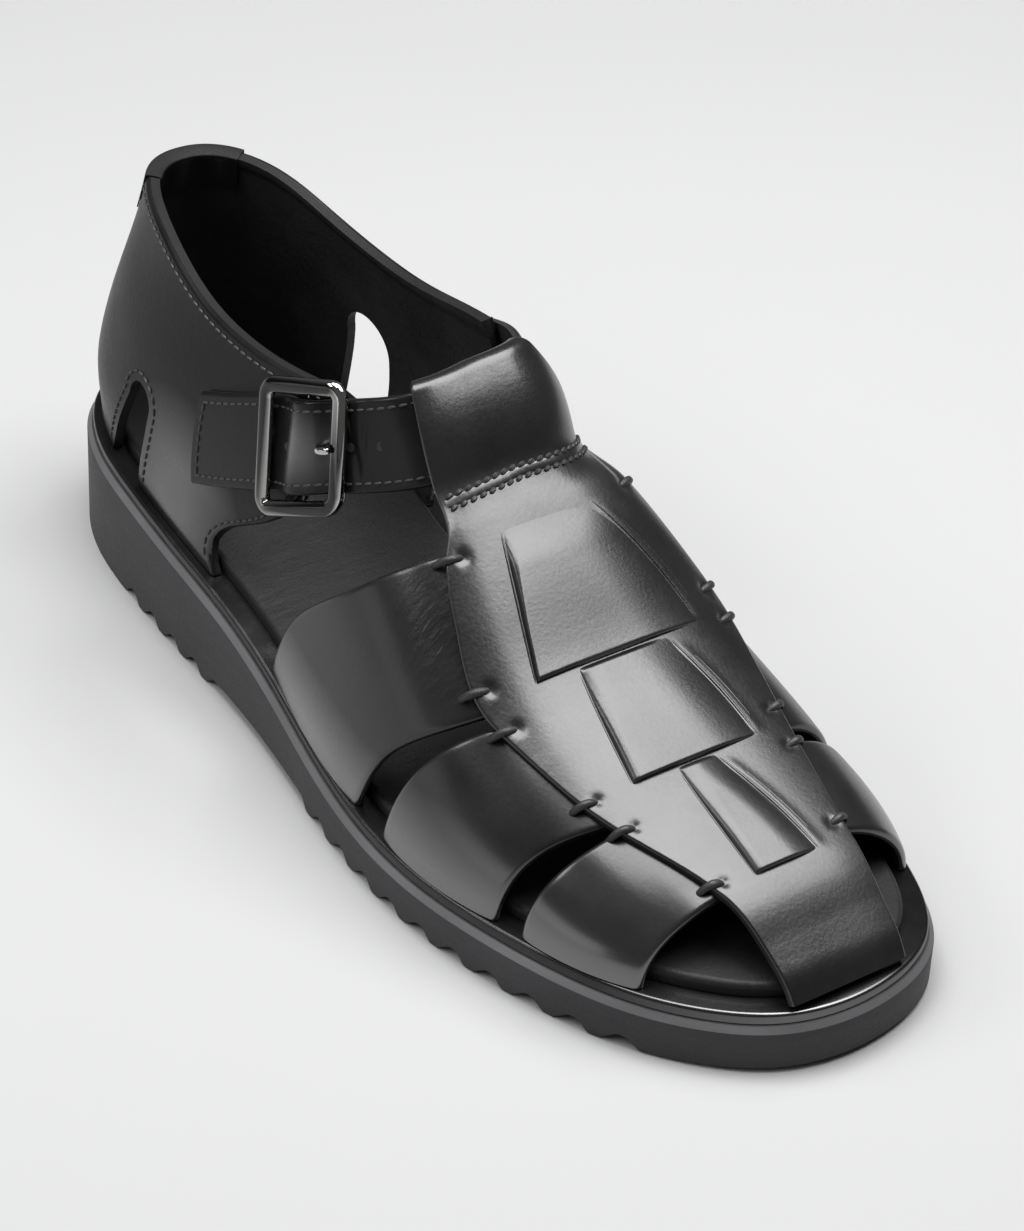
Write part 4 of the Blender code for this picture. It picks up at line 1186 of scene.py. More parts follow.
def weave_relief(stations, across):
    """Height on the T-bar: a low swell beside each medial slit and a bell-shaped dimple at each tack."""
    relief = np.zeros(stations.shape)
    for row in records(PILLOWS):
        _, medial = slits(row, stations)
        rear = ease((stations - row["rear"] - SLIT_SWELL_REAR) / SLIT_SWELL_REAR_FADE)
        front = ease((row["front"] + SLIT_SWELL_FRONT - stations) / SLIT_SWELL_FRONT_FADE)
        bell = np.exp(-((across - medial - SLIT_SWELL_AT) / SLIT_SWELL_WIDTH) ** 2)
        relief += SLIT_SWELL * rear * front * bell
    for station, edge, out in tack_places():
        beside = across - (edge - out * TACK_INSIDE)
        far = ((stations - station + TACK_SLANT / 2) ** 2 + beside ** 2) / DIMPLE_RADIUS ** 2
        relief -= DIMPLE_DEPTH * np.exp(-far)
    return relief


def tbar_top(stations):
    """Height of the T-bar's outer face over the last, less at the toe."""
    toe = ease((stations - TBAR_TOE_START) / (TBAR_TOE_END - TBAR_TOE_START))
    return between(TBAR_TOP, TBAR_TOE_TOP, toe)


def loop_points(part, across, lift):
    """Point on the sleeve at the T-bar's head: the ankle strap's surface, off its middle by the lift."""
    shares = 0.5 - across / ANKLE_STRAP_WIDTH
    run = between(LOOP_LATERAL_RUN, LOOP_MEDIAL_RUN, part)
    run = run + LOOP_FLARE * np.maximum(run - 1, 0) * shares
    seat, normal = strap_surface(run, shares)
    return raised(seat, normal, ANKLE_STRAP_THICKNESS / 2 + lift)


def tbar_grid(leather):
    """Outer face of the T-bar, from the tail behind the ankle strap over the fold and down to the toe.

    The front of the sleeve swells by a half sine, and a cubic bridge joins it to the plate over the instep.
    Gives the points, their normals and the first row of the bridge.
    """
    part = ends_close(TBAR_COLUMNS)
    reach = ANKLE_STRAP_THICKNESS / 2 + LOOP_CLEARANCE + leather
    flat = ANKLE_STRAP_WIDTH / 2 - SLEEVE_MARGIN
    tilt = math.atan(math.pi * SLEEVE_SWELL / (flat - SLEEVE_FOOT))
    tail = np.linspace(SLEEVE_TAIL, flat, TAIL_ROWS + 1)[:-1]
    fold = np.linspace(0, math.pi - tilt, FOLD_ROWS)
    front = np.linspace(0, 1, FRONT_ROWS + 1)[1:]
    crest = flat + reach * math.sin(tilt)
    across = np.concatenate([tail, flat + reach * np.sin(fold), between(crest, SLEEVE_FOOT, front)])
    level = reach * between(math.cos(tilt), 1, front)
    outside = level + SLEEVE_SWELL * np.sin(math.pi * front)
    lift = np.concatenate([np.full(TAIL_ROWS, -reach), -reach * np.cos(fold), outside])
    sleeve = loop_points(*np.broadcast_arrays(part, across[:, None], lift[:, None]))
    stations = np.linspace(TBAR_HEAD, RIDGE["station"][-1], PLATE_ROWS)[:, None]
    y = between(tbar_lateral(stations), tbar_medial(stations), part)
    stations = np.broadcast_to(stations, y.shape)
    plate, _ = instep(stations, y, tbar_top(stations) + weave_relief(stations, y))
    start, end = sleeve[-1], plate[0]
    size = np.linalg.norm(end - start, axis=-1, keepdims=True)
    leave = unit(sleeve[-1] - sleeve[-3]) * size
    arrive = unit(plate[3] - plate[0]) * size
    t = np.linspace(0, 1, BRIDGE_ROWS + 2)[1:-1, None, None]
    bridge = ((2 * t ** 3 - 3 * t ** 2 + 1) * start + (t ** 3 - 2 * t ** 2 + t) * leave
              + (3 * t ** 2 - 2 * t ** 3) * end + (t ** 3 - t ** 2) * arrive)
    outer = np.concatenate([sleeve, bridge, plate])
    return outer, grid_normals(outer), len(sleeve)


def tbar_body(leather):
    """T-bar as a wall behind its outer face, its long edges rounded by a quarter ellipse."""
    outer, normal, _ = tbar_grid(leather)
    width = np.linalg.norm(outer[:, -1] - outer[:, 0], axis=-1)[:, None]
    share = ends_close(TBAR_COLUMNS)
    distance = np.minimum(share, 1 - share) * width
    drop = TBAR_EDGE_DROP * leather * (1 - swell(distance / TBAR_EDGE))
    return wall(raised(outer, normal, -leather), raised(outer, normal, -drop))


def pillow_body(row, leather):
    """A strap's field over the T-bar: it rises out of the slits and ends in a cut front edge.

    It rises by a smooth step from the rear and by a quarter ellipse from the lateral slit, arches by a sine
    along its length, and rolls down to the medial slit by a square.
    """
    rows, count = FIELD_GRID
    down = ends_close(rows)[:, None]
    over = ends_close(count)[None, :]
    length = row["front"] - row["rear"]
    stations = np.broadcast_to(row["rear"] + length * down, FIELD_GRID)
    lateral, medial = slits(row, stations)
    width = medial - lateral
    y = lateral + width * over
    narrow = between(row["rise_rear"], row["rise_front"], ease(down / FIELD_RISE_END))
    beside = swell(over * width / narrow)
    roll = 1 - (1 - np.clip((1 - over) * width / row["roll"], 0, 1)) ** 2
    back = ease((stations - row["rear"]) / row["back"])
    arch = np.sin(math.pi * (FIELD_ARC_START + FIELD_ARC * down))
    full = arch * (FIELD_LOW + FIELD_HIGH * roll)
    height = back * (beside * full - row["sink"] * (1 - beside)) - FIELD_SUNK
    outer, normal = instep(stations, y, tbar_top(stations) + height)
    edge = (1 - down) * length
    drop = FIELD_EDGE_DROP * leather * (1 - swell(edge / FIELD_EDGE))
    return wall(raised(outer, normal, -FIELD_THICKNESS * leather), raised(outer, normal, -drop))


def slit_ridges():
    """Raised cut edges along the slits: thin rounded ridges that die out at their ends by a half sine."""
    bodies = []
    t = np.linspace(0, 1, RIDGE_POINTS)
    for row in records(PILLOWS):
        x = row["rear"] + RIDGE_START + (row["front"] - row["rear"] - RIDGE_SHORTER) * t
        lateral, medial = slits(row, x)
        ridges = [(lateral + LATERAL_RIDGE_AT, row["ridge"])]
        ridges += [(medial + beside, size) for beside, size in MEDIAL_RIDGES]
        for y, size in ridges:
            girth = size * between(RIDGE_END, 1, np.sin(math.pi * t) ** RIDGE_TAPER)
            bodies.append(wire(*instep(x, y, tbar_top(x) - RIDGE_SUNK), girth, girth, THREAD_SIDES))
    return together(bodies)


def seam_welt(leather):
    """The folded end between the two rows of the head's seam, as a low flat ridge."""
    outer, normal, first = tbar_grid(leather)
    return wire(*seam_path(outer, normal, first + SEAM_ROWS.mean()), *WELT, WIRE_SIDES, WELT_POWER)


def tack_bodies(radius):
    """Thread tacks: out of a hole in the T-bar, over its edge and into the strap, as quadratic curves."""
    bodies = []
    t = np.linspace(0, 1, TACK_POINTS)
    level = (1 - t) ** 2 * (TBAR_TOP - TACK_SUNK) + t ** 2 * TACK_FOOT
    level = level + 2 * t * (1 - t) * (TBAR_TOP + TACK_CROWN)
    girth = radius * between(TACK_END, 1, np.sin(math.pi * t))
    for station, edge, out in tack_places():
        x = station + TACK_SLANT * (t - 0.5)
        y = edge + out * between(-TACK_INSIDE, TACK_OUTSIDE, t)
        bodies.append(wire(*instep(x, y, level), TACK_FLATNESS * girth, girth, THREAD_SIDES))
    return together(bodies)


def arch_outline(row):
    """Outline of an arched cut-out in station and height, open below the ledge."""
    middle = (row["top_rear"] + row["top_front"]) / 2
    radius = (row["top_front"] - row["top_rear"]) / 2
    sill = float(ledge(middle))
    turn = np.linspace(0, math.pi, ARCH_POINTS)
    arc = np.column_stack([middle + radius * np.cos(turn), row["height"] - radius + radius * np.sin(turn)])
    front = [(row["bottom_front"], sill - ARCH_OPEN_BELOW), (row["bottom_front"], sill)]
    rear = [(row["bottom_rear"], sill), (row["bottom_rear"], sill - ARCH_OPEN_BELOW)]
    return np.concatenate([front, arc, rear])


def quarter_grid():
    """Inner face of the quarter and its normals: rings drawn in to the sole at the foot.

    The normals of the foot are level. Gives also the share of the girth by column, -1 to 1, and of the height
    by row, 0 to 1.
    """
    girth_count, height_count = QUARTER_GRID
    fraction = np.sin(np.linspace(0, math.pi / 2, height_count))
    lateral = spline(QUARTER_FRONT["fraction"], QUARTER_FRONT["lateral"])(fraction)
    medial = spline(QUARTER_FRONT["fraction"], QUARTER_FRONT["medial"])(fraction)
    u = np.linspace(-1, 1, girth_count)
    across = (QUARTER_EVEN * u + (1 - QUARTER_EVEN) * np.sin(math.pi / 2 * u))[:, None]
    girth = np.where(across < 0, across * lateral, across * medial)
    low_ring = ankle_points(girth, np.full(girth.shape, RINGS["height"][1]))[..., :2]
    foot = nearest_edge(low_ring, outline(FULL_TURN, QUARTER_FOOT_INSET))
    base = ledge(foot[..., 0]) + GAP
    grid = ankle_points(girth, between(base, top_line(girth), fraction))
    pull = 1 - ease(fraction / QUARTER_FOOT)
    grid[..., :2] += (foot - low_ring) * pull[None, :, None]
    normal = grid_normals(grid)
    normal[:, 0, 2] = 0
    return grid, unit(normal), across, fraction


def nearest_edge(points, edge):
    """The closest points of an outline, found by blocks of rows."""
    blocks = np.array_split(points.reshape(-1, 2), EDGE_BLOCKS)
    gaps = (np.sum((block[:, None] - edge) ** 2, axis=-1) for block in blocks)
    return np.concatenate([edge[np.argmin(gap, axis=1)] for gap in gaps]).reshape(points.shape)


def inside_outline(x, z, line):
    """Whether points lie inside a closed outline, by counting crossings, and their closest point on it."""
    start, end = line, np.roll(line, -1, axis=0)
    x, z = x[..., None], z[..., None]
    crosses = (start[:, 1] > z) != (end[:, 1] > z)
    rise = np.where(end[:, 1] == start[:, 1], TINY, end[:, 1] - start[:, 1])
    at = start[:, 0] + (z - start[:, 1]) * (end[:, 0] - start[:, 0]) / rise
    inside = np.sum(crosses & (x < at), axis=-1) % 2 == 1
    way = end - start
    size = np.maximum(np.sum(way ** 2, axis=1), TINY)
    part = np.clip(((x - start[:, 0]) * way[:, 0] + (z - start[:, 1]) * way[:, 1]) / size, 0, 1)
    near_x = start[:, 0] + part * way[:, 0]
    near_z = start[:, 1] + part * way[:, 1]
    gap = np.hypot(x - near_x, z - near_z)
    best = np.argmin(gap, axis=-1)[..., None]
    closest = [np.take_along_axis(values, best, -1)[..., 0] for values in (near_x, near_z)]
    return inside, *closest


def quarter_body(leather):
    """Heel counter and quarters: one wall, its arched cut-outs left out, their edges drawn to the outline.

    Points inside an outline move to its closest point, and in depth along the plane of their normal.
    """
    grid, normal, across, fraction = quarter_grid()
    keep = np.ones((grid.shape[0] - 1, grid.shape[1] - 1), bool)
    for row in records(ARCHES):
        line = arch_outline(row)
        side = row["side"] * (grid[..., 1] - QUARTER_AXIS_Y) > 0
        inside, near_x, near_z = inside_outline(grid[..., 0], grid[..., 2], line)
        inside &= side
        cut = inside[:-1, :-1] & inside[1:, :-1] & inside[1:, 1:] & inside[:-1, 1:]
        keep &= ~cut
        slope_x = -normal[..., 0] / normal[..., 1]
        slope_z = -normal[..., 2] / normal[..., 1]
        move_x, move_z = near_x - grid[..., 0], near_z - grid[..., 2]
        near_y = grid[..., 1] + slope_x * move_x + slope_z * move_z
        moved = np.stack([near_x, near_y, near_z], axis=-1)
        grid = np.where(inside[..., None], moved, grid)
    distance = np.minimum((1 - np.abs(across)) * QUARTER_REACH, (1 - fraction) * QUARTER_HEIGHT)
    full = leather * between(QUARTER_EDGE_SHARE, 1, swell(distance / QUARTER_EDGE))
    rolled = COLLAR_ROLL * ease((fraction - COLLAR_ROLL_FROM) / COLLAR_ROLL_OVER)
    return wall(raised(grid, normal, -rolled), raised(grid, normal, full), keep)


def tab_body(leather):
    """Binding folded over the top line at the back: a rounded hairpin section carried along the line."""
    girth = np.linspace(-TAB_HALF_GIRTH, TAB_HALF_GIRTH, TAB_COLUMNS)
    top = top_line(girth)
    turn = np.linspace(0, math.pi, TAB_FOLD_ROWS)[1:-1]
    middle, half = (leather - COLLAR_ROLL) / 2, (leather + COLLAR_ROLL) / 2
    sides = np.linspace(-TAB_DROP, 0, TAB_SIDE_ROWS)
    faces = []
    for far in (BINDING_GAP, BINDING_GAP + BINDING):
        inside = np.full(TAB_SIDE_ROWS, middle - half - far)
        outside = np.full(TAB_SIDE_ROWS, middle + half + far)
        out = np.concatenate([inside, middle - (half + far) * np.cos(turn), outside])
        rise = np.concatenate([sides, far * np.sin(turn), sides[::-1]])
        height = top + rise[:, None]
        girths = np.broadcast_to(girth, height.shape)
        level = ankle_points(girths, height)
        ahead = ankle_points(girths + RUN_STEP, height)
        above = ankle_points(girths, height + HEIGHT_STEP)
        normal = unit(np.cross(above - level, ahead - level))
        normal = normal if normal[0, TAB_COLUMNS // 2, 0] < 0 else -normal
        faces.append(raised(level, normal, out[:, None]))
    points, quads, kinds = wall(*faces)
    row = np.arange(len(faces[0]) - 1).repeat(TAB_COLUMNS - 1)
    kinds[:len(row)][(row >= TAB_SIDE_ROWS - 1) & (row < TAB_SIDE_ROWS + len(turn))] = 2
    return points, quads, kinds


def strap_grid(shares, lift):
    """Points at a lift over the inner face of the ankle strap, along its whole run."""
    runs, shares = np.meshgrid(BAND_RUNS, shares, indexing="ij")
    inner, normal = strap_surface(runs, shares, hump=True)
    return raised(inner, normal, lift), normal


def ankle_strap_body(leather):
    """Ankle strap: a flat band round the ankle rings, humped over the buckle's bar, edges rounded."""
    shares = ends_close(BAND_COLUMNS)
    inner, normal = strap_grid(shares, 0.0)
    distance = np.minimum(shares, 1 - shares) * ANKLE_STRAP_WIDTH
    full = leather * between(BAND_EDGE_SHARE, 1, swell(distance / BAND_EDGE))
    for run, lean, middle, depth in zip(*STRAP_CREASES.values()):
        across = (BAND_RUNS[:, None] - run) * BUCKLE_RUN_LENGTH - lean * (shares - middle)
        bell = np.exp(-(across / CREASE_WIDTH) ** 2 - ((shares - middle) / CREASE_REACH) ** 2)
        full = full - depth * bell
    return wall(inner, raised(inner, normal, full))


def buckle_path(along, across, offset):
    """Points and normals over the strap at the buckle, in millimetres from its middle."""
    up = np.asarray(across, float) / ANKLE_STRAP_WIDTH
    runs = BUCKLE_RUN + np.asarray(along, float) * (1 + BUCKLE_SQUARE * up) / BUCKLE_RUN_LENGTH
    seat, normal = strap_surface(runs, 0.5 - up)
    return raised(seat, normal, offset), normal


def buckle_body(half_width, half_height):
    """Buckle frame: a rounded rectangle with an oval section, and its bar under the strap."""
    corner = np.linspace(0, math.pi / 2, CORNER_POINTS)
    along, across = [], []
    for quarter, (right, up) in enumerate(((1, 1), (-1, 1), (-1, -1), (1, -1))):
        angle = corner + quarter * math.pi / 2
        along.append(right * (BUCKLE_HALF_LENGTH - BUCKLE_CORNER) + BUCKLE_CORNER * np.cos(angle))
        across.append(up * (BUCKLE_HALF_HEIGHT - BUCKLE_CORNER) + BUCKLE_CORNER * np.sin(angle))
    over = ANKLE_STRAP_THICKNESS + 2 * GAP + FRAME_OVER
    along, across = np.concatenate(along), np.concatenate(across)
    path = buckle_path(along, across, np.full(along.shape, over))
    rim = wire(*path, half_width, half_height, FRAME_SIDES, closed=True)
    reach = BAR_REACH * BUCKLE_HALF_HEIGHT
    low = BAR_WIRE + 0.5 * GAP
    depth = np.interp(np.abs(BAR_REACH), BAR_BEND, (low, BAR_BEND_DEPTH * over, over))
    bar = wire(*buckle_path(np.zeros(len(reach)), reach, depth), BAR_WIRE, BAR_WIRE, WIRE_SIDES)
    return together([rim, bar])


def prong_body(radius):
    """Prong: a wire out of the strap's hole, up and over the front of the frame."""
    top = ANKLE_STRAP_THICKNESS + 3 * GAP + PRONG_OVER + radius
    rise = spline(PRONG_ALONG, (*PRONG_RISE, top - PRONG_LAST_RISE, top))
    along = np.linspace(PRONG_ALONG[0], PRONG_ALONG[-1], PRONG_POINTS)
    taper = radius * (PRONG_TIP + PRONG_GAIN * swell((along[-1] - along) / PRONG_TIP_LENGTH))
    path = buckle_path(along, np.zeros(PRONG_POINTS), rise(along))
    return wire(*path, taper, PRONG_FLATNESS * taper, WIRE_SIDES)


def stitch_row(path, normal, pitch, length, radius, lean=0.0):
    """Stitches along a path: short capsules, one each pitch, half sunk and turned by the lean."""
    run = running_length(*path.T)
    count = max(int(run[-1] / pitch), 1)
    at = (np.arange(count) + 0.5) * run[-1] / count

    def read(places, values):
        return np.column_stack([np.interp(places, run, values[:, k]) for k in range(3)])

    middle = read(at, path)
    up = unit(read(at, normal))
    forward = unit(read(at + STITCH_STEP, path) - read(at - STITCH_STEP, path))
    forward = unit(forward + lean * unit(np.cross(up, forward)))
    side = unit(np.cross(up, forward))
    turn = np.linspace(STITCH_CAP, math.pi - STITCH_CAP, STITCH_RINGS)
    round_turn = circle(STITCH_SIDES)
    stretch = -np.cos(turn) * length / 2
    girth = radius * np.sin(turn) ** STITCH_TAPER
    wide = girth[:, None] * np.cos(round_turn)
    high = girth[:, None] * np.sin(round_turn) + STITCH_PROUD * radius
    points = (middle[:, None, None] + forward[:, None, None] * stretch[:, None, None]
              + side[:, None, None] * wide[..., None] + up[:, None, None] * high[..., None])
    near_end = np.array([[0, 1, 2, 3], [0, 3, 4, 5]])
    far_end = near_end[:, ::-1] + (STITCH_RINGS - 1) * STITCH_SIDES
    one = np.concatenate([face_grid(STITCH_RINGS, STITCH_SIDES, closed=True), near_end, far_end])
    starts = STITCH_RINGS * STITCH_SIDES * np.arange(count)
    faces = (one[None] + starts[:, None, None]).reshape(-1, 4)
    return plain_body(points, faces)


def surface_row(grid, normal, x, z, side, lift):
    """Points over the quarter's outer face for places in station and height on one side of the shoe."""
    chosen = side * (grid[..., 1] - QUARTER_AXIS_Y) > 0
    points = grid[chosen]
    gap = (points[None, :, 0] - x[:, None]) ** 2 + (points[None, :, 2] - z[:, None]) ** 2
    best = np.argmin(gap, axis=1)
    point, up = points[best], normal[chosen][best]
    y = point[:, 1] - (up[:, 0] * (x - point[:, 0]) + up[:, 2] * (z - point[:, 2])) / up[:, 1]
    return raised(np.column_stack([x, y, z]), up, lift), up


def quarter_stitches(leather, sizes):
    """Stitch rows of the quarter: under the top line, round each arch and behind the front edges."""
    grid, normal, _, fraction = quarter_grid()
    outer = raised(grid, normal, leather)
    level = np.interp(1 - COLLAR_STITCH / QUARTER_HEIGHT, fraction, np.arange(len(fraction)))
    low, part = int(level), level - int(level)
    row = outer[COLLAR_COLUMNS, low] * (1 - part) + outer[COLLAR_COLUMNS, low + 1] * part
    bodies = [stitch_row(row, normal[COLLAR_COLUMNS, low], *sizes)]
    for arch in records(ARCHES):
        line = arch_outline(arch)[1:-1]
        forward = unit(np.gradient(line, axis=0))
        away = np.column_stack([forward[:, 1], -forward[:, 0]])
        away = away if np.sum(away * (line - line.mean(axis=0))) > 0 else -away
        round_line = line + ARCH_STITCH * away
        run = running_length(*round_line.T)
        at = np.linspace(ARCH_STITCH_END, run[-1] - ARCH_STITCH_END, ARCH_STITCH_POINTS)
        x, z = (np.interp(at, run, round_line[:, k]) for k in (0, 1))
        path, up = surface_row(grid, normal, x, z, arch["side"], leather)
        bodies.append(stitch_row(path, up, *sizes))
    for end in FRONT_COLUMNS:
        bodies.append(stitch_row(outer[end, FRONT_STITCH_ROWS], normal[end, FRONT_STITCH_ROWS], *sizes))
    return bodies


def strap_stitches(leather, sizes):
    """Stitch rows of the ankle strap: along both edges and across both ends."""
    bodies = []
    for share in BAND_STITCH:
        row, up = strap_grid(np.array([share]), leather)
        bodies.append(stitch_row(row[BAND_STITCH_FROM:, 0], up[BAND_STITCH_FROM:, 0], *sizes))
    grid, up = strap_grid(np.linspace(*BAND_STITCH, BAND_END_POINTS), leather)
    for end in BAND_END_ROWS:
        bodies.append(stitch_row(grid[end], up[end], *sizes))
    return bodies


def seam_path(outer, normal, start):
    """Points and normals along a slanting line of the T-bar's grid, from one row at its lateral end."""
    column = SEAM_COLUMNS
    row = start - SEAM_SLANT * (column - column[0]) / len(column)
    low = row.astype(int)
    part = (row - low)[:, None]
    return outer[low, column] * (1 - part) + outer[low + 1, column] * part, normal[low, column]


def seam_stitches(leather, sizes):
    """The double row across the T-bar's head, where its folded end is sewn down."""
    outer, normal, first = tbar_grid(leather)
    return [stitch_row(*seam_path(outer, normal, first + row), *sizes) for row in SEAM_ROWS]


def hole_bodies(leather):
    """Punched holes of the ankle strap: small dished discs, deeper in the middle."""
    bodies = []
    turn = circle(HOLE_SIDES)
    for along in HOLES_AT:
        runs = np.array([BUCKLE_RUN + along / BUCKLE_RUN_LENGTH])
        seat, normal = (values[0] for values in strap_surface(runs, STRAP_MIDDLE, hump=True))
        side = unit(np.cross(normal, (0.0, 0.0, 1.0)))
        up = np.cross(normal, side)
        ring = side * np.cos(turn)[:, None] + up * np.sin(turn)[:, None]
        spread = HOLE_RADIUS * HOLE_SPREAD[:, None, None] * ring
        rings = seat + spread + (leather + HOLE_RISE)[:, None, None] * normal
        bodies.append(layers(rings))
    return together(bodies)


def length_setting(name, description, default):
    """A length in metres."""
    return FloatProperty(name=name, description=description, default=default, unit="LENGTH")


def place_setting(name, description, default):
    """A place in metres."""
    return FloatVectorProperty(
        name=name, description=description, default=default, subtype="TRANSLATION", unit="LENGTH")


def colour_setting(name, description, default):
    """A colour as linear red, green and blue."""
    return FloatVectorProperty(
        name=name, description=description, default=default, subtype="COLOR", min=0, max=1)


def power_setting(name, description, default):
    """A light's power in watts."""
    return FloatProperty(name=name, description=description, default=default, unit="POWER")


class SandalSizes(PropertyGroup):
    """Sizes of the finished pieces."""

    leather: length_setting("Strap leather", "Thickness of the straps and the T-bar", 0.0022)
    quarter: length_setting("Quarter leather", "Thickness of the heel and quarters", 0.0026)
    strap: length_setting("Ankle strap leather", "Thickness of the ankle strap", ANKLE_STRAP_THICKNESS * MM)
    bulge: length_setting("Strap flare", "How far the cross straps stand out at the sole", 0.0016)
    stitch_pitch: length_setting("Stitch pitch", "Distance between stitches", 0.0029)
    stitch_length: length_setting("Stitch length", "Length of one stitch", 0.0021)
    thread: length_setting("Thread", "Radius of the sewing thread", 0.00036)
    tack: length_setting("Tack thread", "Radius of the tacks' thread", 0.00082)
    buckle_width: length_setting("Buckle width", "Half width of the buckle's frame section", 0.0021)
    buckle_height: length_setting("Buckle thickness", "Half thickness of the buckle's frame", 0.0017)
    prong: length_setting("Prong", "Radius of the prong", 0.0009)


class SandalColours(PropertyGroup):
    """Colours of the finishes."""

    leather: colour_setting("Leather", "Polished upper leather", (0.006, 0.006, 0.0065))
    runner: colour_setting("Runner", "Ledge round the sole", (0.005, 0.005, 0.0055))
    insole: colour_setting("Insole", "Insole leather", (0.009, 0.009, 0.0095))
    lining: colour_setting("Lining", "Inside of the leather", (0.017, 0.017, 0.018))
    cut_edge: colour_setting("Cut edge", "Cut edge of the heel's leather", (0.006, 0.006, 0.0063))
    dyed_edge: colour_setting("Dyed edge", "Black edge of straps and T-bar", (0.012, 0.012, 0.013))
    rubber: colour_setting("Rubber", "Outsole rubber", (0.027, 0.027, 0.029))
    # The lighter rubber of the outsole's upper edge is a painted highlight, where light from above falls on
    # it
    bevel: colour_setting("Bevel", "Buffed upper edge of the outsole", (0.085, 0.085, 0.088))
    nickel: colour_setting("Nickel", "Buckle plating", (0.5, 0.495, 0.485))
    # This thread is the same black thread as the tacks' and seam's, painted lighter: a painted highlight on
    # its stitches
    thread: colour_setting("Thread", "Thread of quarter and ankle strap", (0.022, 0.022, 0.023))
    dark_thread: colour_setting("Dark thread", "Thread of tacks and head seam", (0.012, 0.012, 0.013))
    floor: colour_setting("Floor", "Studio floor", (0.345, 0.345, 0.348))


class SandalStudio(PropertyGroup):
    """Camera and light."""

    eye: place_setting("Camera", "Place of the camera", (0.6467, -0.4627, 0.5968))
    aim: place_setting("Aim", "Point in the middle of the picture", (0.013, 0.004, 0.040))
    roll: FloatProperty(
        name="Roll", description="Roll of the camera", default=math.radians(2.77), subtype="ANGLE",
        unit="ROTATION")
    lens: FloatProperty(
        name="Lens", description="Focal length in millimetres", default=117.0, unit="CAMERA")
    overhead: power_setting("Overhead light", "Power of the large soft light", 21.0)
    upper: power_setting("Upper light", "Power of the light over the straps", 8.5)
    rear: power_setting("Rear light", "Power of the strip that lines the upper edges", 4.0)
    side: power_setting("Side light", "Power of the low strip on the lateral side", 1.5)
    fill: power_setting("Fill light", "Power of the light over the lateral floor", 8.0)
    world: FloatProperty(
        name="World", description="Strength of the grey surround", default=0.1, subtype="FACTOR")


def mm(value):
    """A length property in millimetres."""
    return value / MM


class SANDAL_OT_sole(Operator):
    """Rubber outsole, runner and insole"""

    bl_idname = "sandal.sole"
    bl_label = "Make sole"

    def execute(self, context):
        rubber = [finish_of("rubber"), finish_of("bevel")]
        place("sole_outsole", outsole_body(), rubber, ["outsole"], SOLE_SHARP)
        runner = rounded_layer(MIDSOLE_INSET, lambda x: sole_top(x) + GAP, ledge, MIDSOLE_ROUND)
        place("sole_runner", runner, [finish_of("runner")], ["midsole"])
        insole = rounded_layer(
            INSOLE_INSET, lambda x: ledge(x) + GAP, lambda x: ledge(x) + GAP + INSOLE_THICKNESS, INSOLE_ROUND)
        place("sole_insole", insole, [finish_of("insole")], ["insole"])
        return {"FINISHED"}


class SANDAL_OT_vamp(Operator):
    """T-bar, cross straps and the woven fields"""

    bl_idname = "sandal.vamp"
    bl_label = "Make vamp"

    def execute(self, context):
        sizes = context.scene.sandal_sizes
        leather = mm(sizes.leather)
        calf = wall_finishes("calf", "dyed_edge")
        strap = wall_finishes("strap", "dyed_edge")
        place("vamp_tbar", tbar_body(leather), calf, ["upper_vamp"], LEATHER_SHARP)
        for number, edges in enumerate(STRAPS, 1):
            body = strap_body(edges, leather, mm(sizes.bulge))
            place(f"vamp_strap_{number}", body, strap, sharp=LEATHER_SHARP)
        for number, row in enumerate(records(PILLOWS), 1):
            body = pillow_body(row, leather)
            place(f"vamp_field_{number}", body, calf, sharp=LEATHER_SHARP)
        ridges = together([slit_ridges(), seam_welt(leather)])
        place("vamp_slit_edges", ridges, [finish_of("calf")])
        return {"FINISHED"}


class SANDAL_OT_quarter(Operator):
    """Heel counter, quarters and the binding at the back"""

    bl_idname = "sandal.quarter"
    bl_label = "Make quarter"

    def execute(self, context):
        leather = mm(context.scene.sandal_sizes.quarter)
        finishes = wall_finishes("counter", "cut_edge")
        place("quarter_wall", quarter_body(leather), finishes, ["upper_quarter"],
              LEATHER_SHARP)
        place("quarter_tab", tab_body(leather), finishes, ["heel_tab"], LEATHER_SHARP)
        return {"FINISHED"}


class SANDAL_OT_ankle_strap(Operator):
    """Ankle strap with its punched holes"""

    bl_idname = "sandal.ankle_strap"
    bl_label = "Make ankle strap"

    def execute(self, context):
        leather = mm(context.scene.sandal_sizes.strap)
        finishes = wall_finishes("band", "dyed_edge")
        place("strap_band", ankle_strap_body(leather), finishes, ["ankle_strap"],
              LEATHER_SHARP)
        place("strap_holes", hole_bodies(leather), [finish_of("lining")])
        return {"FINISHED"}


class SANDAL_OT_buckle(Operator):
    """Buckle frame and prong"""

    bl_idname = "sandal.buckle"
    bl_label = "Make buckle"

    def execute(self, context):
        sizes = context.scene.sandal_sizes
        body = buckle_body(mm(sizes.buckle_width), mm(sizes.buckle_height))
        place("buckle_frame_polished", body, [finish_of("nickel")], ["buckle_frame"],
              METAL_SHARP)
        place("buckle_prong_polished", prong_body(mm(sizes.prong)), [finish_of("prong")],
              ["buckle_prong"], METAL_SHARP)
        return {"FINISHED"}


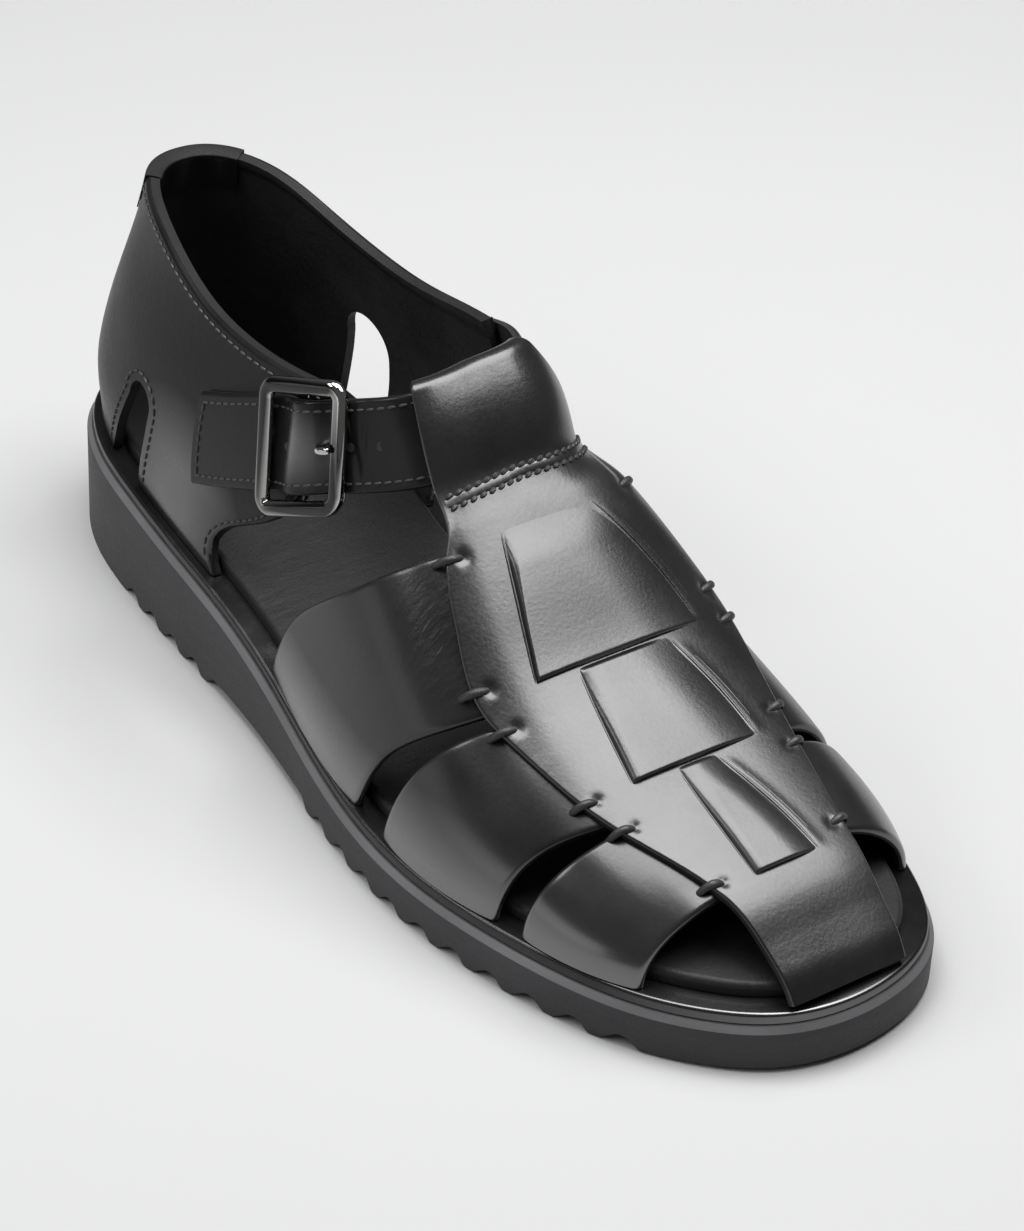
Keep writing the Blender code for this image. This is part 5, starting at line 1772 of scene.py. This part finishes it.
class SANDAL_OT_thread(Operator):
    """Stitch rows and thread tacks"""

    bl_idname = "sandal.thread"
    bl_label = "Make thread"

    def execute(self, context):
        sizes = context.scene.sandal_sizes
        rows = (mm(sizes.stitch_pitch), mm(sizes.stitch_length), mm(sizes.thread))
        bodies = quarter_stitches(mm(sizes.quarter), rows) + strap_stitches(mm(sizes.strap), rows)
        # These stitches take the lighter thread colour, a painted highlight
        place("thread_stitches", together(bodies), [finish_of("thread")])
        bodies = seam_stitches(mm(sizes.leather), SEAM_STITCH)
        place("thread_seam", together(bodies), [finish_of("dark_thread")])
        place("thread_tacks", tack_bodies(mm(sizes.tack)), [finish_of("dark_thread")])
        return {"FINISHED"}


# Studio: half the floor's side, the camera's sensor in millimetres and its nearest distance
FLOOR_REACH = 6.0
SENSOR_HEIGHT = 36.0
CLIP_START = 0.01

# Lights: place, the point each one faces, width and depth, in metres; some show in no reflection
LIGHTS = {
    "overhead": ((0.10, 0.40, 1.05), (0.10, 0.40, 0.0), (0.9, 0.82)),
    "upper": ((-0.22, -0.16, 1.05), (-0.22, -0.16, 0.0), (0.66, 0.42)),
    "rear": ((-0.5, -0.75, 0.85), (0.0, 0.0, 0.05), (0.6, 0.3)),
    "side": ((-0.35, -1.3, 0.16), (0.0, 0.0, 0.05), (1.5, 0.32)),
    "fill": ((0.1, -0.75, 1.1), (0.0, 0.0, 0.05), (1.0, 1.0)),
}
MATTE_LIGHTS = ("fill",)


def add_light(name, power, where, aim, size):
    """A rectangular soft light turned to a point."""
    data = bpy.data.lights.new(name, "AREA")
    data.shape = "RECTANGLE"
    data.size, data.size_y = size
    data.energy = power
    light = bpy.data.objects.new(name, data)
    light.location = where
    light.rotation_mode = "QUATERNION"
    light.rotation_quaternion = (Vector(aim) - Vector(where)).to_track_quat("-Z", "Y")
    bpy.context.scene.collection.objects.link(light)
    return light


def add_floor(scene):
    """A square of paper under the shoe."""
    corners = [(x * FLOOR_REACH, y * FLOOR_REACH, 0) for x, y in ((-1, -1), (1, -1), (1, 1), (-1, 1))]
    mesh = bpy.data.meshes.new("studio_floor")
    mesh.from_pydata(corners, [], [(0, 1, 2, 3)])
    mesh.materials.append(finish_of("paper"))
    floor = bpy.data.objects.new("studio_floor", mesh)
    scene.collection.objects.link(floor)


def add_surround(scene, strength):
    """An even white surround, dimmed to grey by its strength."""
    world = bpy.data.worlds.new("studio_surround")
    world.use_nodes = True
    background = world.node_tree.nodes["Background"]
    background.inputs["Color"].default_value = (1, 1, 1, 1)
    background.inputs["Strength"].default_value = strength
    scene.world = world


def add_camera(scene, studio):
    """The camera at its place, faced to the aim and rolled."""
    eye, aim = Vector(studio.eye), Vector(studio.aim)
    back = (eye - aim).normalized()
    right = Vector((0, 0, 1)).cross(back).normalized()
    up = back.cross(right)
    tilt = studio.roll
    across = math.cos(tilt) * right + math.sin(tilt) * up
    above = -math.sin(tilt) * right + math.cos(tilt) * up
    data = bpy.data.cameras.new("studio_camera")
    data.sensor_fit = "VERTICAL"
    data.sensor_height = SENSOR_HEIGHT
    data.lens = studio.lens
    data.clip_start = CLIP_START
    camera = bpy.data.objects.new("studio_camera", data)
    turn = Matrix((across, above, back)).transposed()
    camera.matrix_world = Matrix.Translation(eye) @ turn.to_4x4()
    scene.collection.objects.link(camera)
    scene.camera = camera


class SANDAL_OT_stage(Operator):
    """Floor, lights and camera"""

    bl_idname = "sandal.stage"
    bl_label = "Make stage"

    def execute(self, context):
        scene = context.scene
        studio = scene.sandal_studio
        add_floor(scene)
        add_surround(scene, studio.world)
        for name, (where, aim, size) in LIGHTS.items():
            light = add_light(name, getattr(studio, name), where, aim, size)
            light.visible_glossy = name not in MATTE_LIGHTS
        scene.view_settings.view_transform = "Standard"
        add_camera(scene, studio)
        return {"FINISHED"}


STEPS = (SANDAL_OT_sole, SANDAL_OT_vamp, SANDAL_OT_quarter, SANDAL_OT_ankle_strap, SANDAL_OT_buckle,
         SANDAL_OT_thread, SANDAL_OT_stage)


class SANDAL_PT_pieces(Panel):
    """Lists the steps that make the sandal."""

    bl_idname = "SANDAL_PT_pieces"
    bl_label = "Sandal"
    bl_space_type = "VIEW_3D"
    bl_region_type = "UI"
    bl_category = "Sandal"

    def draw(self, context):
        for step in STEPS:
            self.layout.operator(step.bl_idname)
        for group in (context.scene.sandal_sizes, context.scene.sandal_colours, context.scene.sandal_studio):
            box = self.layout.box()
            for name in group.bl_rna.properties.keys():
                if name not in ("rna_type", "name"):
                    box.prop(group, name)


GROUPS = {"sandal_sizes": SandalSizes, "sandal_colours": SandalColours, "sandal_studio": SandalStudio}


def register():
    """Registers the classes and puts the settings on the scene."""
    for item in (*GROUPS.values(), *STEPS, SANDAL_PT_pieces):
        bpy.utils.register_class(item)
    for name, group in GROUPS.items():
        setattr(bpy.types.Scene, name, PointerProperty(type=group))


def unregister():
    """Takes the settings and the classes away again."""
    for name in GROUPS:
        delattr(bpy.types.Scene, name)
    for item in reversed((*GROUPS.values(), *STEPS, SANDAL_PT_pieces)):
        bpy.utils.unregister_class(item)


def main():
    """Makes every piece in order."""
    register()
    for step in STEPS:
        group, name = step.bl_idname.split(".")
        getattr(getattr(bpy.ops, group), name)()


if __name__ == "__main__":
    main()
